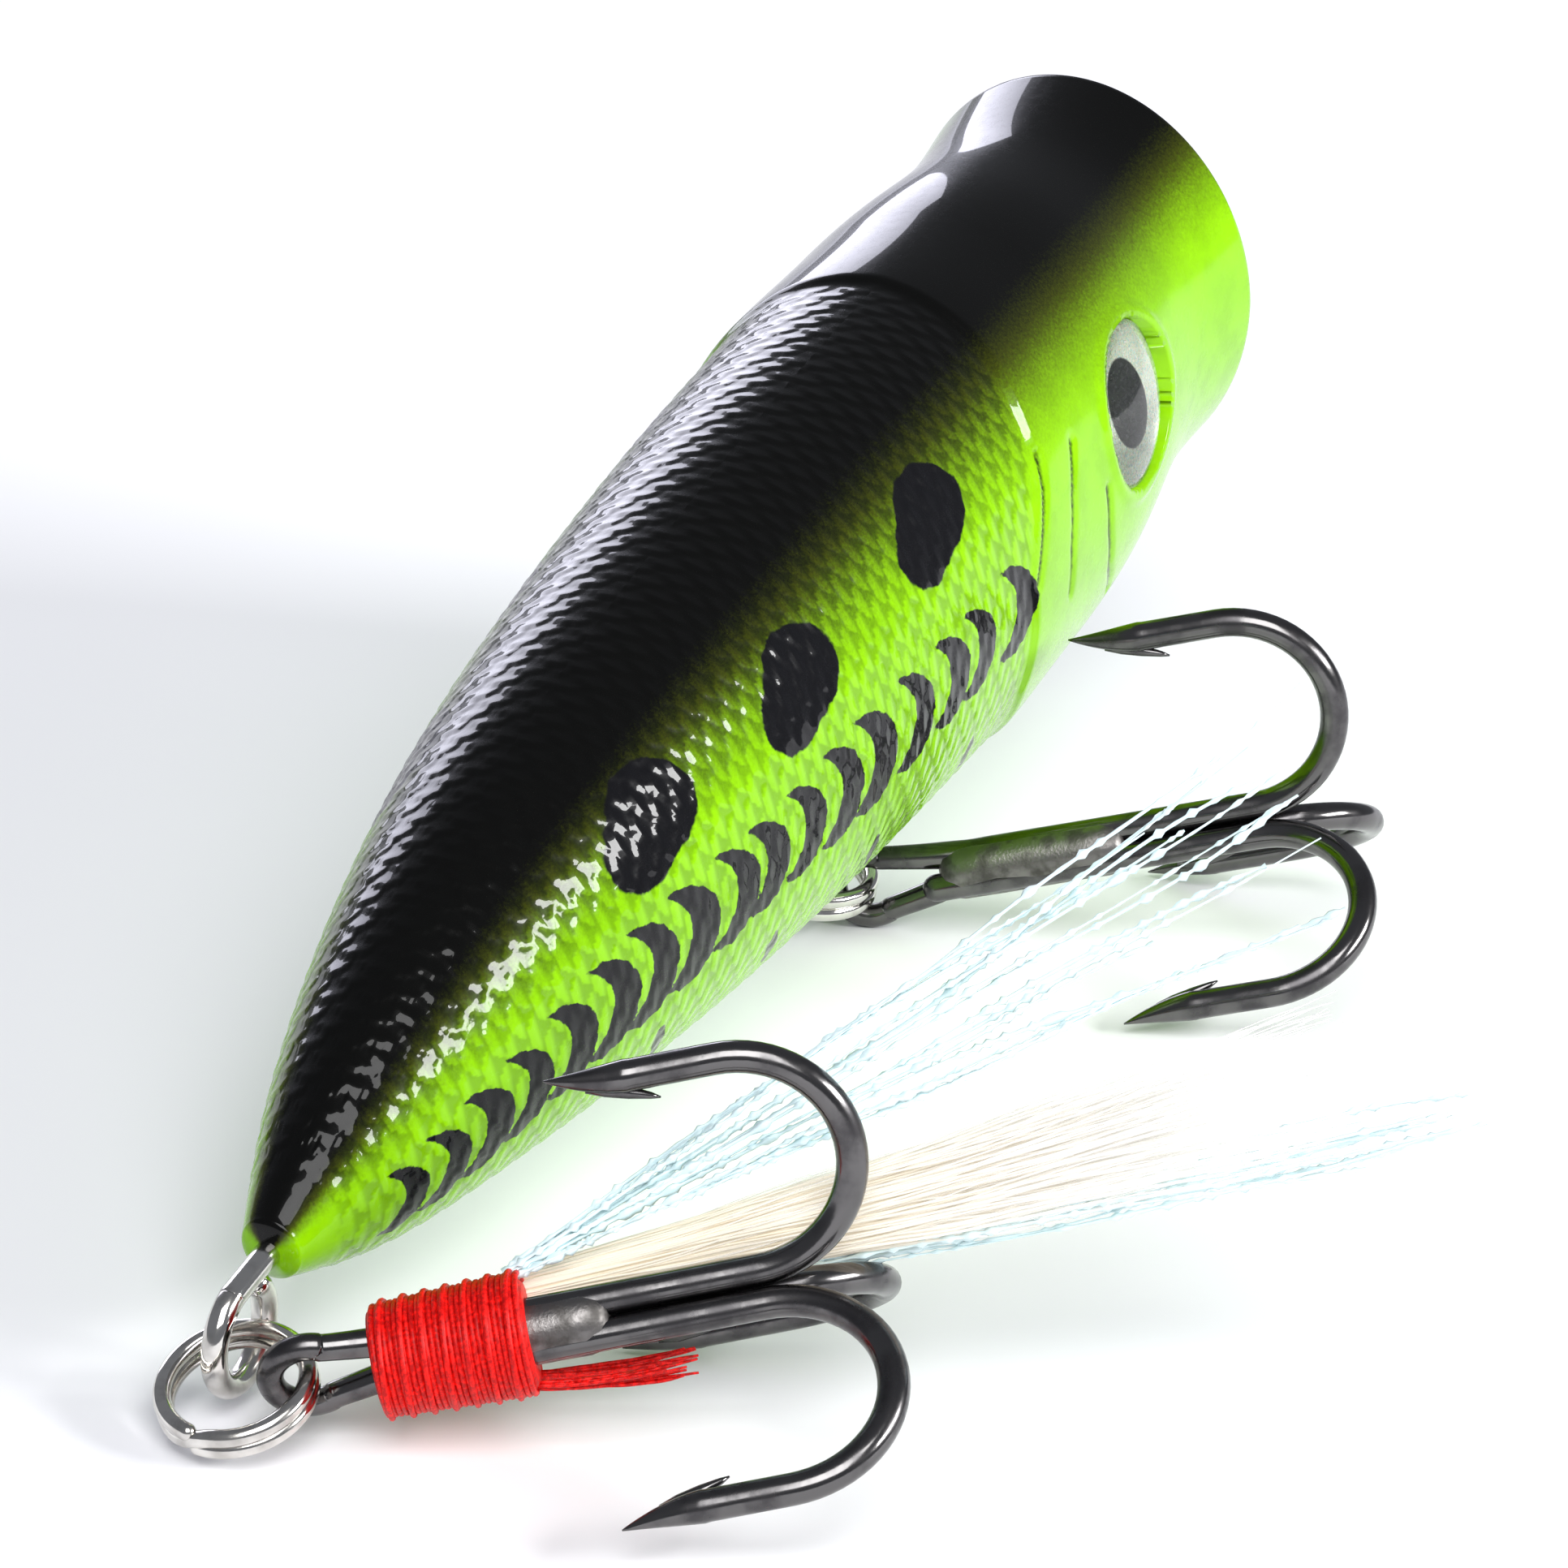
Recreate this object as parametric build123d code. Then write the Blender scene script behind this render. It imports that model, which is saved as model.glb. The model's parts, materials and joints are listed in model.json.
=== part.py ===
"""Topwater popper: a hollow two-piece fishing lure with two treble hooks.

The lure is drawn lying level, x from tail to nose, and is then set at the nose-up
attitude in which it rests on its hooks and rings. The origin is the line-tie eye.
"""
import os
from math import cos, radians, sin, sqrt

from build123d import *

# ---- body shell, lying level, x = 0 at the tail end ----
BODY_LENGTH = 61.6
BODY_DEPTH = 18.0       # tallest section
BODY_WIDTH = 14.2       # widest section
WALL = 1.3
# share of length, half height, half width and centre height, as shares of the largest section
STATIONS = [
    (0.000, 0.120, 0.140, 0.022),
    (0.047, 0.290, 0.300, 0.028),
    (0.140, 0.520, 0.530, 0.050),
    (0.280, 0.745, 0.755, 0.061),
    (0.437, 0.890, 0.900, 0.042),
    (0.594, 0.972, 0.972, 0.017),
    (0.750, 1.000, 1.000, -0.014),
    (0.860, 0.955, 0.960, -0.022),
    (0.930, 0.870, 0.890, -0.014),
    (1.000, 0.865, 0.920, -0.006),
]
CAVITY_START = 11.0
CAVITY_END = 46.8

# ---- mouth cup ----
CUP_DEPTH = 7.0
LIP = 0.7
FACE_LEAN = 4.0         # degrees, top lip forward

# ---- eyes ----
EYE_X = 51.0
EYE_RISE = 2.3          # above the middle of the section
EYE_RADIUS = 2.95
EYE_DEPTH = 1.9
EYE_DISC = 0.4
LENS_EDGE = 0.9
LENS_CROWN = 0.75
EYE_PLAY = 0.06
EYE_TOE = 5.0           # degrees the eye looks forward
EYE_UP = 12.0           # degrees the eye looks up

# ---- wire hangers and line tie ----
HANGER_WIRE = 0.8
HANGER_LOOP = 1.55      # mean radius
ANCHOR_LOOP = 1.1
WIRE_PLAY = 0.05
BELLY_HANGER_X = 38.8
LOOP_DROP = 0.1         # how far the belly loop hangs clear of the skin
BELLY_STEM = 4.3        # loop centre to anchor centre
TAIL_LOOP_X = -2.2
TAIL_STEM = 9.6
LINE_TIE_X = BODY_LENGTH - 2.8
LINE_TIE_LOOP = 1.4
LINE_TIE_STEM = 7.4

# ---- shell joints ----
PIN_RADIUS = 0.7
PIN_LENGTH = 1.6
BOSS_RADIUS = 1.6
PIN_PLAY = 0.05
PIN_TIP_PLAY = 0.25
PIN_PLACES = [(15.5, 3.2), (31.0, 4.9), (43.5, 5.1), (28.5, -5.2)]

# ---- ballast and rattles ----
WEIGHT_RADIUS = 2.0
WEIGHT_LENGTH = 8.0
WEIGHT_X = 13.4
WEIGHT_Z = -1.2
WEIGHT_PLAY = 0.04
RIB = 1.2
BALL_RADIUS = 2.0
CHAMBER_RADIUS = 2.4
CHAMBER_WALL = 0.9
CHAMBER_X = (24.2, 35.4, 46.4)
CHAMBER_Z = -0.2
BALL_REST_GAP = 0.1

# ---- split rings ----
RING_WIRE = 0.55
RING_RADIUS = 2.15      # mean
RING_STEP = 0.5         # between the two turns

# ---- treble hooks, along the shank from the eye ----
HOOK_WIRE = 0.95
HOOK_EYE = 1.15         # mean radius
HOOK_EYE_WIRE = 0.8
SHANK_END = 13.3
SHANK_OFFSET = 0.57
BEND_RADIUS = 3.3
POINT_START = 10.9
POINT_TIP = 8.4
POINT_FLARE = 0.3
TIP_RADIUS = 0.06
BARB_LENGTH = 1.5
BARB_RADIUS = 0.3
BARB_ANGLE = 24.0
NECK_RADIUS = 0.92
SINGLE_START = 2.3
BRAZE_START = 2.5
BRAZE_END = 8.9
BRAZE_RADIUS = 1.2
PRONG_ROLLS = (0.0, -120.0, 120.0)

# ---- tail dressing ----
WRAP_START = 1.95
WRAP_END = 6.5
WRAP_RADIUS = 1.9
WRAP_PLAY = 0.02
TAG_RADIUS = 0.2
TAG_LENGTH = 4.6
HAIR_START = 6.6
HAIR_END = 31.0
HAIR_NEAR = (1.98, 0.7)     # offset from the shank axis, radius
HAIR_FAR = (6.0, 2.6)
HAIR_ROLL = 15.0
FLASH_THICKNESS = 0.3
FLASH_ROOT = (6.7, 1.5, 0.5)

# ---- attitude at rest ----
NOSE_UP = 12.0
FLOOR_LIFT = 3.9
BELLY_RING_DIR = (0.985, 0.174, 0.08)
BELLY_RING_TILT = 0.12
BELLY_HOOK_AZIMUTH = -69.5
BELLY_HOOK_RISE = 16.5
BELLY_HOOK_ROLL = 83.0
TAIL_RING_DIR = (0.85, 0.42, 0.32)
TAIL_HOOK_DIR = (0.43, -0.87, 0.25)
TAIL_HOOK_RISE = 15.5
TAIL_HOOK_ROLL = 67.0

HALF_DEPTH = BODY_DEPTH / 2
HALF_WIDTH = BODY_WIDTH / 2
level_to_rest = Pos(0, 0, FLOOR_LIFT) * Rot(0, -NOSE_UP, 0)


def at_rest(x, y, z):
    """The place at rest of a point given in the level body."""
    angle = radians(NOSE_UP)
    return Vector(x * cos(angle) - z * sin(angle), y, x * sin(angle) + z * cos(angle) + FLOOR_LIFT)


def section_at(x):
    """Half height, half width and centre height of the body at x, between two stations."""
    share = x / BODY_LENGTH
    for low, high in zip(STATIONS, STATIONS[1:]):
        if low[0] <= share <= high[0]:
            part = (share - low[0]) / (high[0] - low[0])
            mixed = [a + (b - a) * part for a, b in zip(low, high)]
            return mixed[1] * HALF_DEPTH, mixed[2] * HALF_WIDTH, mixed[3] * BODY_DEPTH
    raise ValueError("x lies outside the body")


def body_loft(first, last, inset):
    """A smooth solid through the body's sections from x = first to last, inset by a wall."""
    places = [first]
    places += [s[0] * BODY_LENGTH for s in STATIONS if first + 1.5 < s[0] * BODY_LENGTH < last - 1.5]
    places.append(last)
    sections = []
    for x in places:
        height, width, centre = section_at(x)
        plane = Plane(origin=(x, 0, centre), x_dir=(0, 1, 0), z_dir=(1, 0, 0))
        sections.append(plane * Ellipse(width - inset, height - inset))
    return loft(sections)


def rod(start, end, radius):
    """A round rod between two points."""
    start = Vector(*start)
    axis = Vector(*end) - start
    return Solid.make_cylinder(radius, axis.length, Plane(origin=start, z_dir=axis))


def loop_xz(x, z, mean, radius):
    """A wire loop standing in the xz plane."""
    return Pos(x, 0, z) * Rot(90, 0, 0) * Torus(mean, radius)


def belly_hanger_z():
    """Height of the belly loop's centre: its hole just clears the skin."""
    height, _, centre = section_at(BELLY_HANGER_X)
    return centre - height - HANGER_LOOP - LOOP_DROP


def belly_hanger(extra):
    radius = HANGER_WIRE / 2 + extra
    low = belly_hanger_z()
    anchor = low + BELLY_STEM
    solid = loop_xz(BELLY_HANGER_X, low, HANGER_LOOP, radius)
    solid += rod((BELLY_HANGER_X, 0, low + HANGER_LOOP), (BELLY_HANGER_X, 0, anchor - ANCHOR_LOOP), radius)
    return solid + loop_xz(BELLY_HANGER_X, anchor, ANCHOR_LOOP, radius)


def tail_stem_z():
    return section_at(0)[2]


def tail_hanger(extra):
    radius = HANGER_WIRE / 2 + extra
    stem_z = tail_stem_z()
    end = TAIL_LOOP_X + TAIL_STEM
    solid = loop_xz(TAIL_LOOP_X, stem_z - HANGER_LOOP, HANGER_LOOP, radius)
    solid += rod((TAIL_LOOP_X + HANGER_WIRE / 2, 0, stem_z), (end, 0, stem_z), radius)
    return solid + loop_xz(end + ANCHOR_LOOP, stem_z, ANCHOR_LOOP, radius)


def line_tie(extra):
    radius = HANGER_WIRE / 2 + extra
    end = LINE_TIE_X - LINE_TIE_STEM
    solid = loop_xz(LINE_TIE_X, 0, LINE_TIE_LOOP, radius)
    solid += rod((LINE_TIE_X - LINE_TIE_LOOP, 0, 0), (end + ANCHOR_LOOP, 0, 0), radius)
    return solid + loop_xz(end, 0, ANCHOR_LOOP, radius)


def eye_plane(side):
    """The plane on the flank's surface, z outward, on which an eye is drawn."""
    height, width, centre = section_at(EYE_X)
    width *= sqrt(1 - (EYE_RISE / height) ** 2)
    toe = radians(EYE_TOE)
    up = radians(EYE_UP)
    outward = (sin(toe), side * cos(toe) * cos(up), cos(toe) * sin(up))
    return Plane(origin=(EYE_X, side * width, centre + EYE_RISE), x_dir=(0, 0, 1), z_dir=outward)


def eye_disc(side):
    radius = EYE_RADIUS - EYE_PLAY
    return eye_plane(side) * Pos(0, 0, -EYE_DEPTH + EYE_DISC / 2) * Cylinder(radius, EYE_DISC)


def eye_lens(side):
    """A clear button with a flat back and a domed front."""
    radius = EYE_RADIUS - EYE_PLAY
    back = -EYE_DEPTH + EYE_DISC
    edge = back + LENS_EDGE
    sphere_radius = (radius**2 + LENS_CROWN**2) / (2 * LENS_CROWN)
    button = Pos(0, 0, (back + edge + LENS_CROWN) / 2) * Cylinder(radius, LENS_EDGE + LENS_CROWN)
    dome = Pos(0, 0, edge + LENS_CROWN - sphere_radius) * Sphere(sphere_radius)
    return eye_plane(side) * (button & dome)


def cup():
    """The hollow of the mouth, a shallow bowl."""
    height, width, _ = section_at(BODY_LENGTH)
    bowl = scale(Sphere(1), (CUP_DEPTH, width - LIP, height - LIP))
    return Pos(BODY_LENGTH, 0, 0) * Rot(0, FACE_LEAN, 0) * bowl


def chamber():
    """The two-room tube that the rattle balls roll in, between full ribs."""
    start, middle, end = CHAMBER_X
    tube = rod((start, 0, CHAMBER_Z), (end, 0, CHAMBER_Z), CHAMBER_RADIUS + CHAMBER_WALL)
    ribs = [Pos(x, 0, 0) * Box(RIB, 2 * BODY_WIDTH, 2 * BODY_DEPTH) for x in CHAMBER_X]
    rooms = [
        rod((low + RIB / 2, 0, CHAMBER_Z), (high - RIB / 2, 0, CHAMBER_Z), CHAMBER_RADIUS)
        for low, high in ((start, middle), (middle, end))
    ]
    return tube + ribs[0] + ribs[1] + ribs[2], rooms


def ballast():
    return rod((WEIGHT_X, 0, WEIGHT_Z), (WEIGHT_X + WEIGHT_LENGTH, 0, WEIGHT_Z), WEIGHT_RADIUS)


def shell_body():
    """Both halves as one, hollow, with bosses, ribs, sockets and pockets."""
    skin = body_loft(0, BODY_LENGTH, 0)
    core = body_loft(CAVITY_START, CAVITY_END, WALL)
    tube, rooms = chamber()
    inside = tube
    for share in (0.25, 0.75):
        inside += Pos(WEIGHT_X + WEIGHT_LENGTH * share, 0, 0) * Box(RIB, 2 * BODY_WIDTH, 2 * BODY_DEPTH)
    for x, z in PIN_PLACES:
        inside += rod((x, -BODY_WIDTH, z), (x, BODY_WIDTH, z), BOSS_RADIUS)
    anchor_z = belly_hanger_z() + BELLY_STEM
    boss_size = 2 * (ANCHOR_LOOP + HANGER_WIRE)
    inside += Pos(BELLY_HANGER_X, 0, anchor_z - 1) * Box(boss_size, 4 * HANGER_WIRE, boss_size + 1)
    solid = skin - (core - inside)
    solid -= cup()
    lean = Plane(origin=(BODY_LENGTH, 0, 0), z_dir=(cos(radians(FACE_LEAN)), 0, -sin(radians(FACE_LEAN))))
    solid -= lean * Pos(0, 0, BODY_DEPTH / 2) * Box(3 * BODY_DEPTH, 3 * BODY_DEPTH, BODY_DEPTH)
    for room in rooms:
        solid -= room
    weight_seat = WEIGHT_RADIUS + WEIGHT_PLAY
    solid -= rod(
        (WEIGHT_X - WEIGHT_PLAY, 0, WEIGHT_Z),
        (WEIGHT_X + WEIGHT_LENGTH + WEIGHT_PLAY, 0, WEIGHT_Z),
        weight_seat,
    )
    solid -= belly_hanger(WIRE_PLAY)
    solid -= tail_hanger(WIRE_PLAY)
    solid -= line_tie(WIRE_PLAY)
    for side in (-1, 1):
        recess = Pos(0, 0, EYE_DEPTH / 2) * Cylinder(EYE_RADIUS, 3 * EYE_DEPTH)
        solid -= eye_plane(side) * recess
    return solid


def shell_half(side, whole):
    """One half of the shell: pins on the left half, sockets in the right."""
    keep = Pos(BODY_LENGTH / 2, side * BODY_WIDTH, 0) * Box(2 * BODY_LENGTH, 2 * BODY_WIDTH, 2 * BODY_DEPTH)
    half = whole & keep
    for x, z in PIN_PLACES:
        if side > 0:
            half += rod((x, 0.5, z), (x, -PIN_LENGTH, z), PIN_RADIUS)
        else:
            half -= rod((x, 1, z), (x, -PIN_LENGTH - PIN_TIP_PLAY, z), PIN_RADIUS + PIN_PLAY)
    return half


def split_ring(centre, toward_hanger, normal):
    """Two turns of spring wire pressed together."""
    turn = Torus(RING_RADIUS, RING_WIRE / 2)
    ring = Pos(0, 0, RING_STEP / 2) * turn + Pos(0, 0, -RING_STEP / 2) * turn
    return Plane(origin=centre, x_dir=toward_hanger, z_dir=normal) * ring


def prong(start):
    """One hook wire in the xz plane: shank, round bend, point and barb."""
    top = SHANK_OFFSET + 2 * BEND_RADIUS
    shank = Line((start, 0, SHANK_OFFSET), (SHANK_END, 0, SHANK_OFFSET))
    bend = ThreePointArc(
        (SHANK_END, 0, SHANK_OFFSET), (SHANK_END + BEND_RADIUS, 0, SHANK_OFFSET + BEND_RADIUS), (SHANK_END, 0, top)
    )
    throat = Line((SHANK_END, 0, top), (POINT_START, 0, top))
    outline = Plane(origin=(start, 0, SHANK_OFFSET), z_dir=(1, 0, 0)) * Circle(HOOK_WIRE / 2)
    wire = sweep(outline, path=Wire([shank.edge(), bend.edge(), throat.edge()]))
    point_axis = Vector(POINT_TIP, 0, top + POINT_FLARE) - Vector(POINT_START, 0, top)
    point = Solid.make_cone(
        HOOK_WIRE / 2, TIP_RADIUS, point_axis.length, Plane(origin=(POINT_START, 0, top), z_dir=point_axis)
    )
    angle = radians(BARB_ANGLE)
    root = (POINT_START - 0.7, 0, top - 0.1)
    barb = Solid.make_cone(BARB_RADIUS, 0.05, BARB_LENGTH, Plane(origin=root, z_dir=(cos(angle), 0, -sin(angle))))
    joint = Pos(POINT_START, 0, top) * Sphere(HOOK_WIRE / 2)
    return wire + point + joint + barb


def turned(solid, roll):
    """A prong drawn along +z, turned about the shank to its roll."""
    return Rot(roll - 90, 0, 0) * solid


def treble(roll, place):
    """The double hook with its eye, the single hook laid beside it, and the braze between."""
    long_prong = prong(1.1)
    eye = Rot(90, 0, 0) * Torus(HOOK_EYE, HOOK_EYE_WIRE / 2)
    neck = Pos(HOOK_EYE + 0.35, 0, 0) * Sphere(NECK_RADIUS)
    neck -= Rot(90, 0, 0) * Cylinder(HOOK_EYE - HOOK_EYE_WIRE / 2, 3)
    double = eye + neck + turned(long_prong, roll) + turned(long_prong, roll - 120)
    double -= turned(rod((SINGLE_START - 0.5, 0, SHANK_OFFSET), (SHANK_END, 0, SHANK_OFFSET), HOOK_WIRE / 2), roll + 120)
    single = turned(prong(SINGLE_START), roll + 120)
    braze = rod((BRAZE_START, 0, 0), (BRAZE_END, 0, 0), BRAZE_RADIUS)
    for turn in PRONG_ROLLS:
        groove = rod((0, 0, SHANK_OFFSET), (SHANK_END, 0, SHANK_OFFSET), HOOK_WIRE / 2)
        braze -= turned(groove, roll + turn)
    return place * double, place * single, place * braze


def thread_wrap():
    """The barrel of winding thread over the shank."""
    shoulder = 0.35
    profile = Polyline(
        (WRAP_START, BRAZE_RADIUS + WRAP_PLAY),
        (WRAP_START, WRAP_RADIUS - shoulder),
        (WRAP_START + shoulder, WRAP_RADIUS),
        (WRAP_END - shoulder, WRAP_RADIUS),
        (WRAP_END, WRAP_RADIUS - shoulder),
        (WRAP_END, BRAZE_RADIUS + WRAP_PLAY),
        close=True,
    )
    return revolve(make_face(profile.edges()), Axis.X)


def thread_tags(roll):
    """The two cut ends of the winding thread."""
    tags = []
    for spread in (-14, 14):
        tag = rod((WRAP_END + 0.02, 0, 1.55), (WRAP_END + TAG_LENGTH, 0, 1.9), TAG_RADIUS)
        tags.append(turned(tag, roll - 180 + spread))
    return tags


def hair(roll):
    """The bundle of dressing hair, a slim cone."""
    near = Vector(HAIR_START, 0, HAIR_NEAR[0])
    axis = Vector(HAIR_END, 0, HAIR_FAR[0]) - near
    cone = Solid.make_cone(HAIR_NEAR[1], HAIR_FAR[1], axis.length, Plane(origin=near, z_dir=axis))
    return turned(cone, roll)


def flash(roll, far_high, far_low):
    """A thin fan of flash strands, standing on the shank at one roll."""
    along, out, root = FLASH_ROOT
    profile = Polyline((along, 0, out), (along, 0, out + root), far_high, far_low, close=True)
    fan = extrude(make_face(profile.edges()), amount=FLASH_THICKNESS / 2, dir=(0, 1, 0), both=True)
    return turned(fan, roll)


def unit(vector):
    return vector / vector.length


def shank_direction(axis, rise):
    """The way a hook's shank points, square to its hinge axis and rising by an angle."""
    steepest = unit(Vector(0, 0, 1) - axis * axis.Z)
    level = unit(axis.cross(steepest))
    return level * cos(radians(rise)) + steepest * sin(radians(rise))


# ---- places at rest, worked out from the sizes above ----
belly_hole = at_rest(BELLY_HANGER_X, 0, belly_hanger_z())
tail_hole = at_rest(TAIL_LOOP_X, 0, tail_stem_z() - HANGER_LOOP)
origin = at_rest(LINE_TIE_X, 0, 0)

azimuth = radians(BELLY_HOOK_AZIMUTH)
belly_ring_dir = unit(Vector(*BELLY_RING_DIR))
belly_ring_centre = belly_hole - belly_ring_dir * RING_RADIUS
belly_flat_shank = unit(Vector(cos(azimuth), sin(azimuth), -BELLY_RING_TILT))
belly_ring_normal = unit(belly_flat_shank.cross(belly_ring_dir))
belly_eye = belly_ring_centre + belly_flat_shank * RING_RADIUS
belly_hook_axis = unit(belly_ring_normal.cross(belly_flat_shank))
belly_shank = shank_direction(belly_hook_axis, BELLY_HOOK_RISE)
belly_hook_place = Plane(origin=belly_eye, x_dir=belly_shank, z_dir=belly_shank.cross(belly_hook_axis)).location

tail_ring_dir = unit(Vector(*TAIL_RING_DIR))
tail_hook_dir = unit(Vector(*TAIL_HOOK_DIR))
tail_ring_normal = unit(tail_hook_dir.cross(tail_ring_dir))
tail_ring_centre = tail_hole - tail_ring_dir * RING_RADIUS
tail_eye = tail_ring_centre + tail_hook_dir * RING_RADIUS
tail_hook_axis = unit(tail_ring_normal.cross(tail_hook_dir))
tail_shank = shank_direction(tail_hook_axis, TAIL_HOOK_RISE)
tail_hook_place = Plane(origin=tail_eye, x_dir=tail_shank, z_dir=tail_shank.cross(tail_hook_axis)).location


def ball(room):
    x = CHAMBER_X[room] + RIB / 2 + BALL_RADIUS + BALL_REST_GAP
    return Pos(x, 0, CHAMBER_Z - CHAMBER_RADIUS + BALL_RADIUS + BALL_REST_GAP) * Sphere(BALL_RADIUS)


def make_nodes():
    """Every piece by name, in place at rest, with the line-tie eye at the origin."""
    whole = shell_body()
    level = {
        "body_shell_right": shell_half(-1, whole),
        "body_shell_left": shell_half(1, whole),
        "line_tie_eye": line_tie(0),
        "belly_hanger_eye": belly_hanger(0),
        "tail_hanger_eye": tail_hanger(0),
        "right_eye_disc": eye_disc(-1),
        "left_eye_disc": eye_disc(1),
        "right_eye_lens": eye_lens(-1),
        "left_eye_lens": eye_lens(1),
        "tail_weight": ballast(),
        "rear_rattle_ball": ball(0),
        "front_rattle_ball": ball(1),
    }
    nodes = {name: level_to_rest * solid for name, solid in level.items()}
    nodes["belly_split_ring"] = split_ring(belly_ring_centre, belly_ring_dir, belly_ring_normal)
    nodes["tail_split_ring"] = split_ring(tail_ring_centre, tail_ring_dir, tail_ring_normal)
    for name, roll, place in (
        ("belly", BELLY_HOOK_ROLL, belly_hook_place),
        ("tail", TAIL_HOOK_ROLL, tail_hook_place),
    ):
        double, single, braze = treble(roll, place)
        nodes[f"{name}_double_hook"] = double
        nodes[f"{name}_single_hook"] = single
        nodes[f"{name}_hook_braze"] = braze
    nodes["thread_wrap"] = tail_hook_place * thread_wrap()
    nodes["thread_tags"] = Compound([tail_hook_place * tag for tag in thread_tags(TAIL_HOOK_ROLL)])
    nodes["tail_hair"] = tail_hook_place * hair(HAIR_ROLL - 18.6)
    nodes["upper_flash"] = tail_hook_place * flash(36.0, (30.0, 0, 15.0), (33.0, 0, 8.0))
    nodes["lower_flash"] = tail_hook_place * flash(-34.0, (34.5, 0, 7.0), (35.0, 0, 3.0))
    shift = Pos(-origin.X, -origin.Y, -origin.Z)
    return {name: shift * solid for name, solid in nodes.items()}


def main():
    os.makedirs("parts", exist_ok=True)
    for name, solid in make_nodes().items():
        export_step(solid, f"parts/{name}.step")


if __name__ == "__main__":
    main()
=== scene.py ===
"""Topwater popper: the finished look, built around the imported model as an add-on's operators."""
import json
from math import cos, pi, radians, sin, sqrt, tan

import bpy
import numpy as np
from bpy.props import FloatProperty, FloatVectorProperty, IntProperty, PointerProperty
from mathutils import Matrix, Vector


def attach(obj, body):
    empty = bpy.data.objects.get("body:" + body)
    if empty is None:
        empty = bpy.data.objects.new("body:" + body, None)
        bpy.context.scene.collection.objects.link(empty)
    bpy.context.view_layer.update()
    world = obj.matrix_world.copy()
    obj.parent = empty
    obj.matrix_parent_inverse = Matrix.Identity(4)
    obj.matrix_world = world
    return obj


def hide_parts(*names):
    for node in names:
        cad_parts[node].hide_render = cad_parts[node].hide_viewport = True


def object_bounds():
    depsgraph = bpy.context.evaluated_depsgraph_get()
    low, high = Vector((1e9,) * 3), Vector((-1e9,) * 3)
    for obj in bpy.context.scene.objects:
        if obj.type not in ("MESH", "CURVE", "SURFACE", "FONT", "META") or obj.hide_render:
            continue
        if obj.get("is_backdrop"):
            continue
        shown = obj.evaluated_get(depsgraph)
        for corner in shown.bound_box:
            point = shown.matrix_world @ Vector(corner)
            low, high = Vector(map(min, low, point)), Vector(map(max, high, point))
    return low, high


bl_info = {
    "name": "Topwater popper",
    "version": (1, 0, 0),
    "blender": (4, 5, 0),
    "location": "3D View > Sidebar > Popper",
    "description": "Builds the painted popper, its hooks, rings and dressing around a packed frame",
    "category": "Object",
}

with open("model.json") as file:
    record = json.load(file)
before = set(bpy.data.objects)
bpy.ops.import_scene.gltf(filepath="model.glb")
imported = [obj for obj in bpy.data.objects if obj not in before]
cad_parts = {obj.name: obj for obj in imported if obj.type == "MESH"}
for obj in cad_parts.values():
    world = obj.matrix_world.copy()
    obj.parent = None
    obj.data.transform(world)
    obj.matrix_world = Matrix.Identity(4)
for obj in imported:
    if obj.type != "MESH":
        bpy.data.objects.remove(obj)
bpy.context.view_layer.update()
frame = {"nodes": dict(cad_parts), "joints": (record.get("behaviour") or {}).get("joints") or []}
MM = 0.001
JOINTS = {joint["name"]: joint for joint in frame["joints"]}
NOSE = Vector(JOINTS["rear_ball_roll"]["axis"]).normalized()

# Body sections, as in the CAD: share of length, half height, half width, centre height.
STATIONS = np.array([
    (0.000, 0.120, 0.140, 0.022),
    (0.047, 0.290, 0.300, 0.028),
    (0.140, 0.520, 0.530, 0.050),
    (0.280, 0.745, 0.755, 0.061),
    (0.437, 0.890, 0.900, 0.042),
    (0.594, 0.972, 0.972, 0.017),
    (0.750, 1.000, 1.000, -0.014),
    (0.860, 0.955, 0.960, -0.022),
    (0.930, 0.870, 0.890, -0.014),
    (1.000, 0.865, 0.920, -0.006),
])

MARKED_LENGTH = 61.6  # body length in millimetres that every marking is placed for
FACE_LEAN = radians(4.0)  # the mouth's plane, tipped back at the bottom
CUP_ROWS = 64
THROAT = 10.9 * MM  # where a prong starts to thin out toward its point, from the hook's eye
AHEAD = np.array(NOSE)
UP = np.array((-NOSE.z, 0.0, NOSE.x))


# ---------------------------------------------------------------- sizes a user can change
def size_of(label, text, millimetres):
    return FloatProperty(name=label, description=text, default=millimetres * MM, unit="LENGTH")


def angle_of(label, text, degrees):
    return FloatProperty(name=label, description=text, default=radians(degrees), unit="ROTATION")


def tint_of(label, text, colour):
    return FloatVectorProperty(name=label, description=text, default=colour, subtype="COLOR")


def count_of(label, text, number):
    return IntProperty(name=label, description=text, default=number)


class BodySizes(bpy.types.PropertyGroup):
    length: size_of("Length", "Tail end to lip", 61.6)
    depth: size_of("Depth", "Tallest section", 18.0)
    width: size_of("Width", "Widest section", 14.2)
    tie_setback: size_of("Tie setback", "Line tie behind the lip", 2.8)
    cup_depth: size_of("Cup depth", "Depth of the mouth", 7.0)
    lip: size_of("Lip", "Thickness of the rim", 0.7)
    scale_pitch: size_of("Scale pitch", "Spacing of moulded scales", 1.02)
    scale_height: size_of("Scale height", "Step of each scale", 0.060)
    rows: count_of("Rows", "Mesh rows along the flank", 450)
    columns: count_of("Columns", "Mesh columns around one half", 176)


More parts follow.
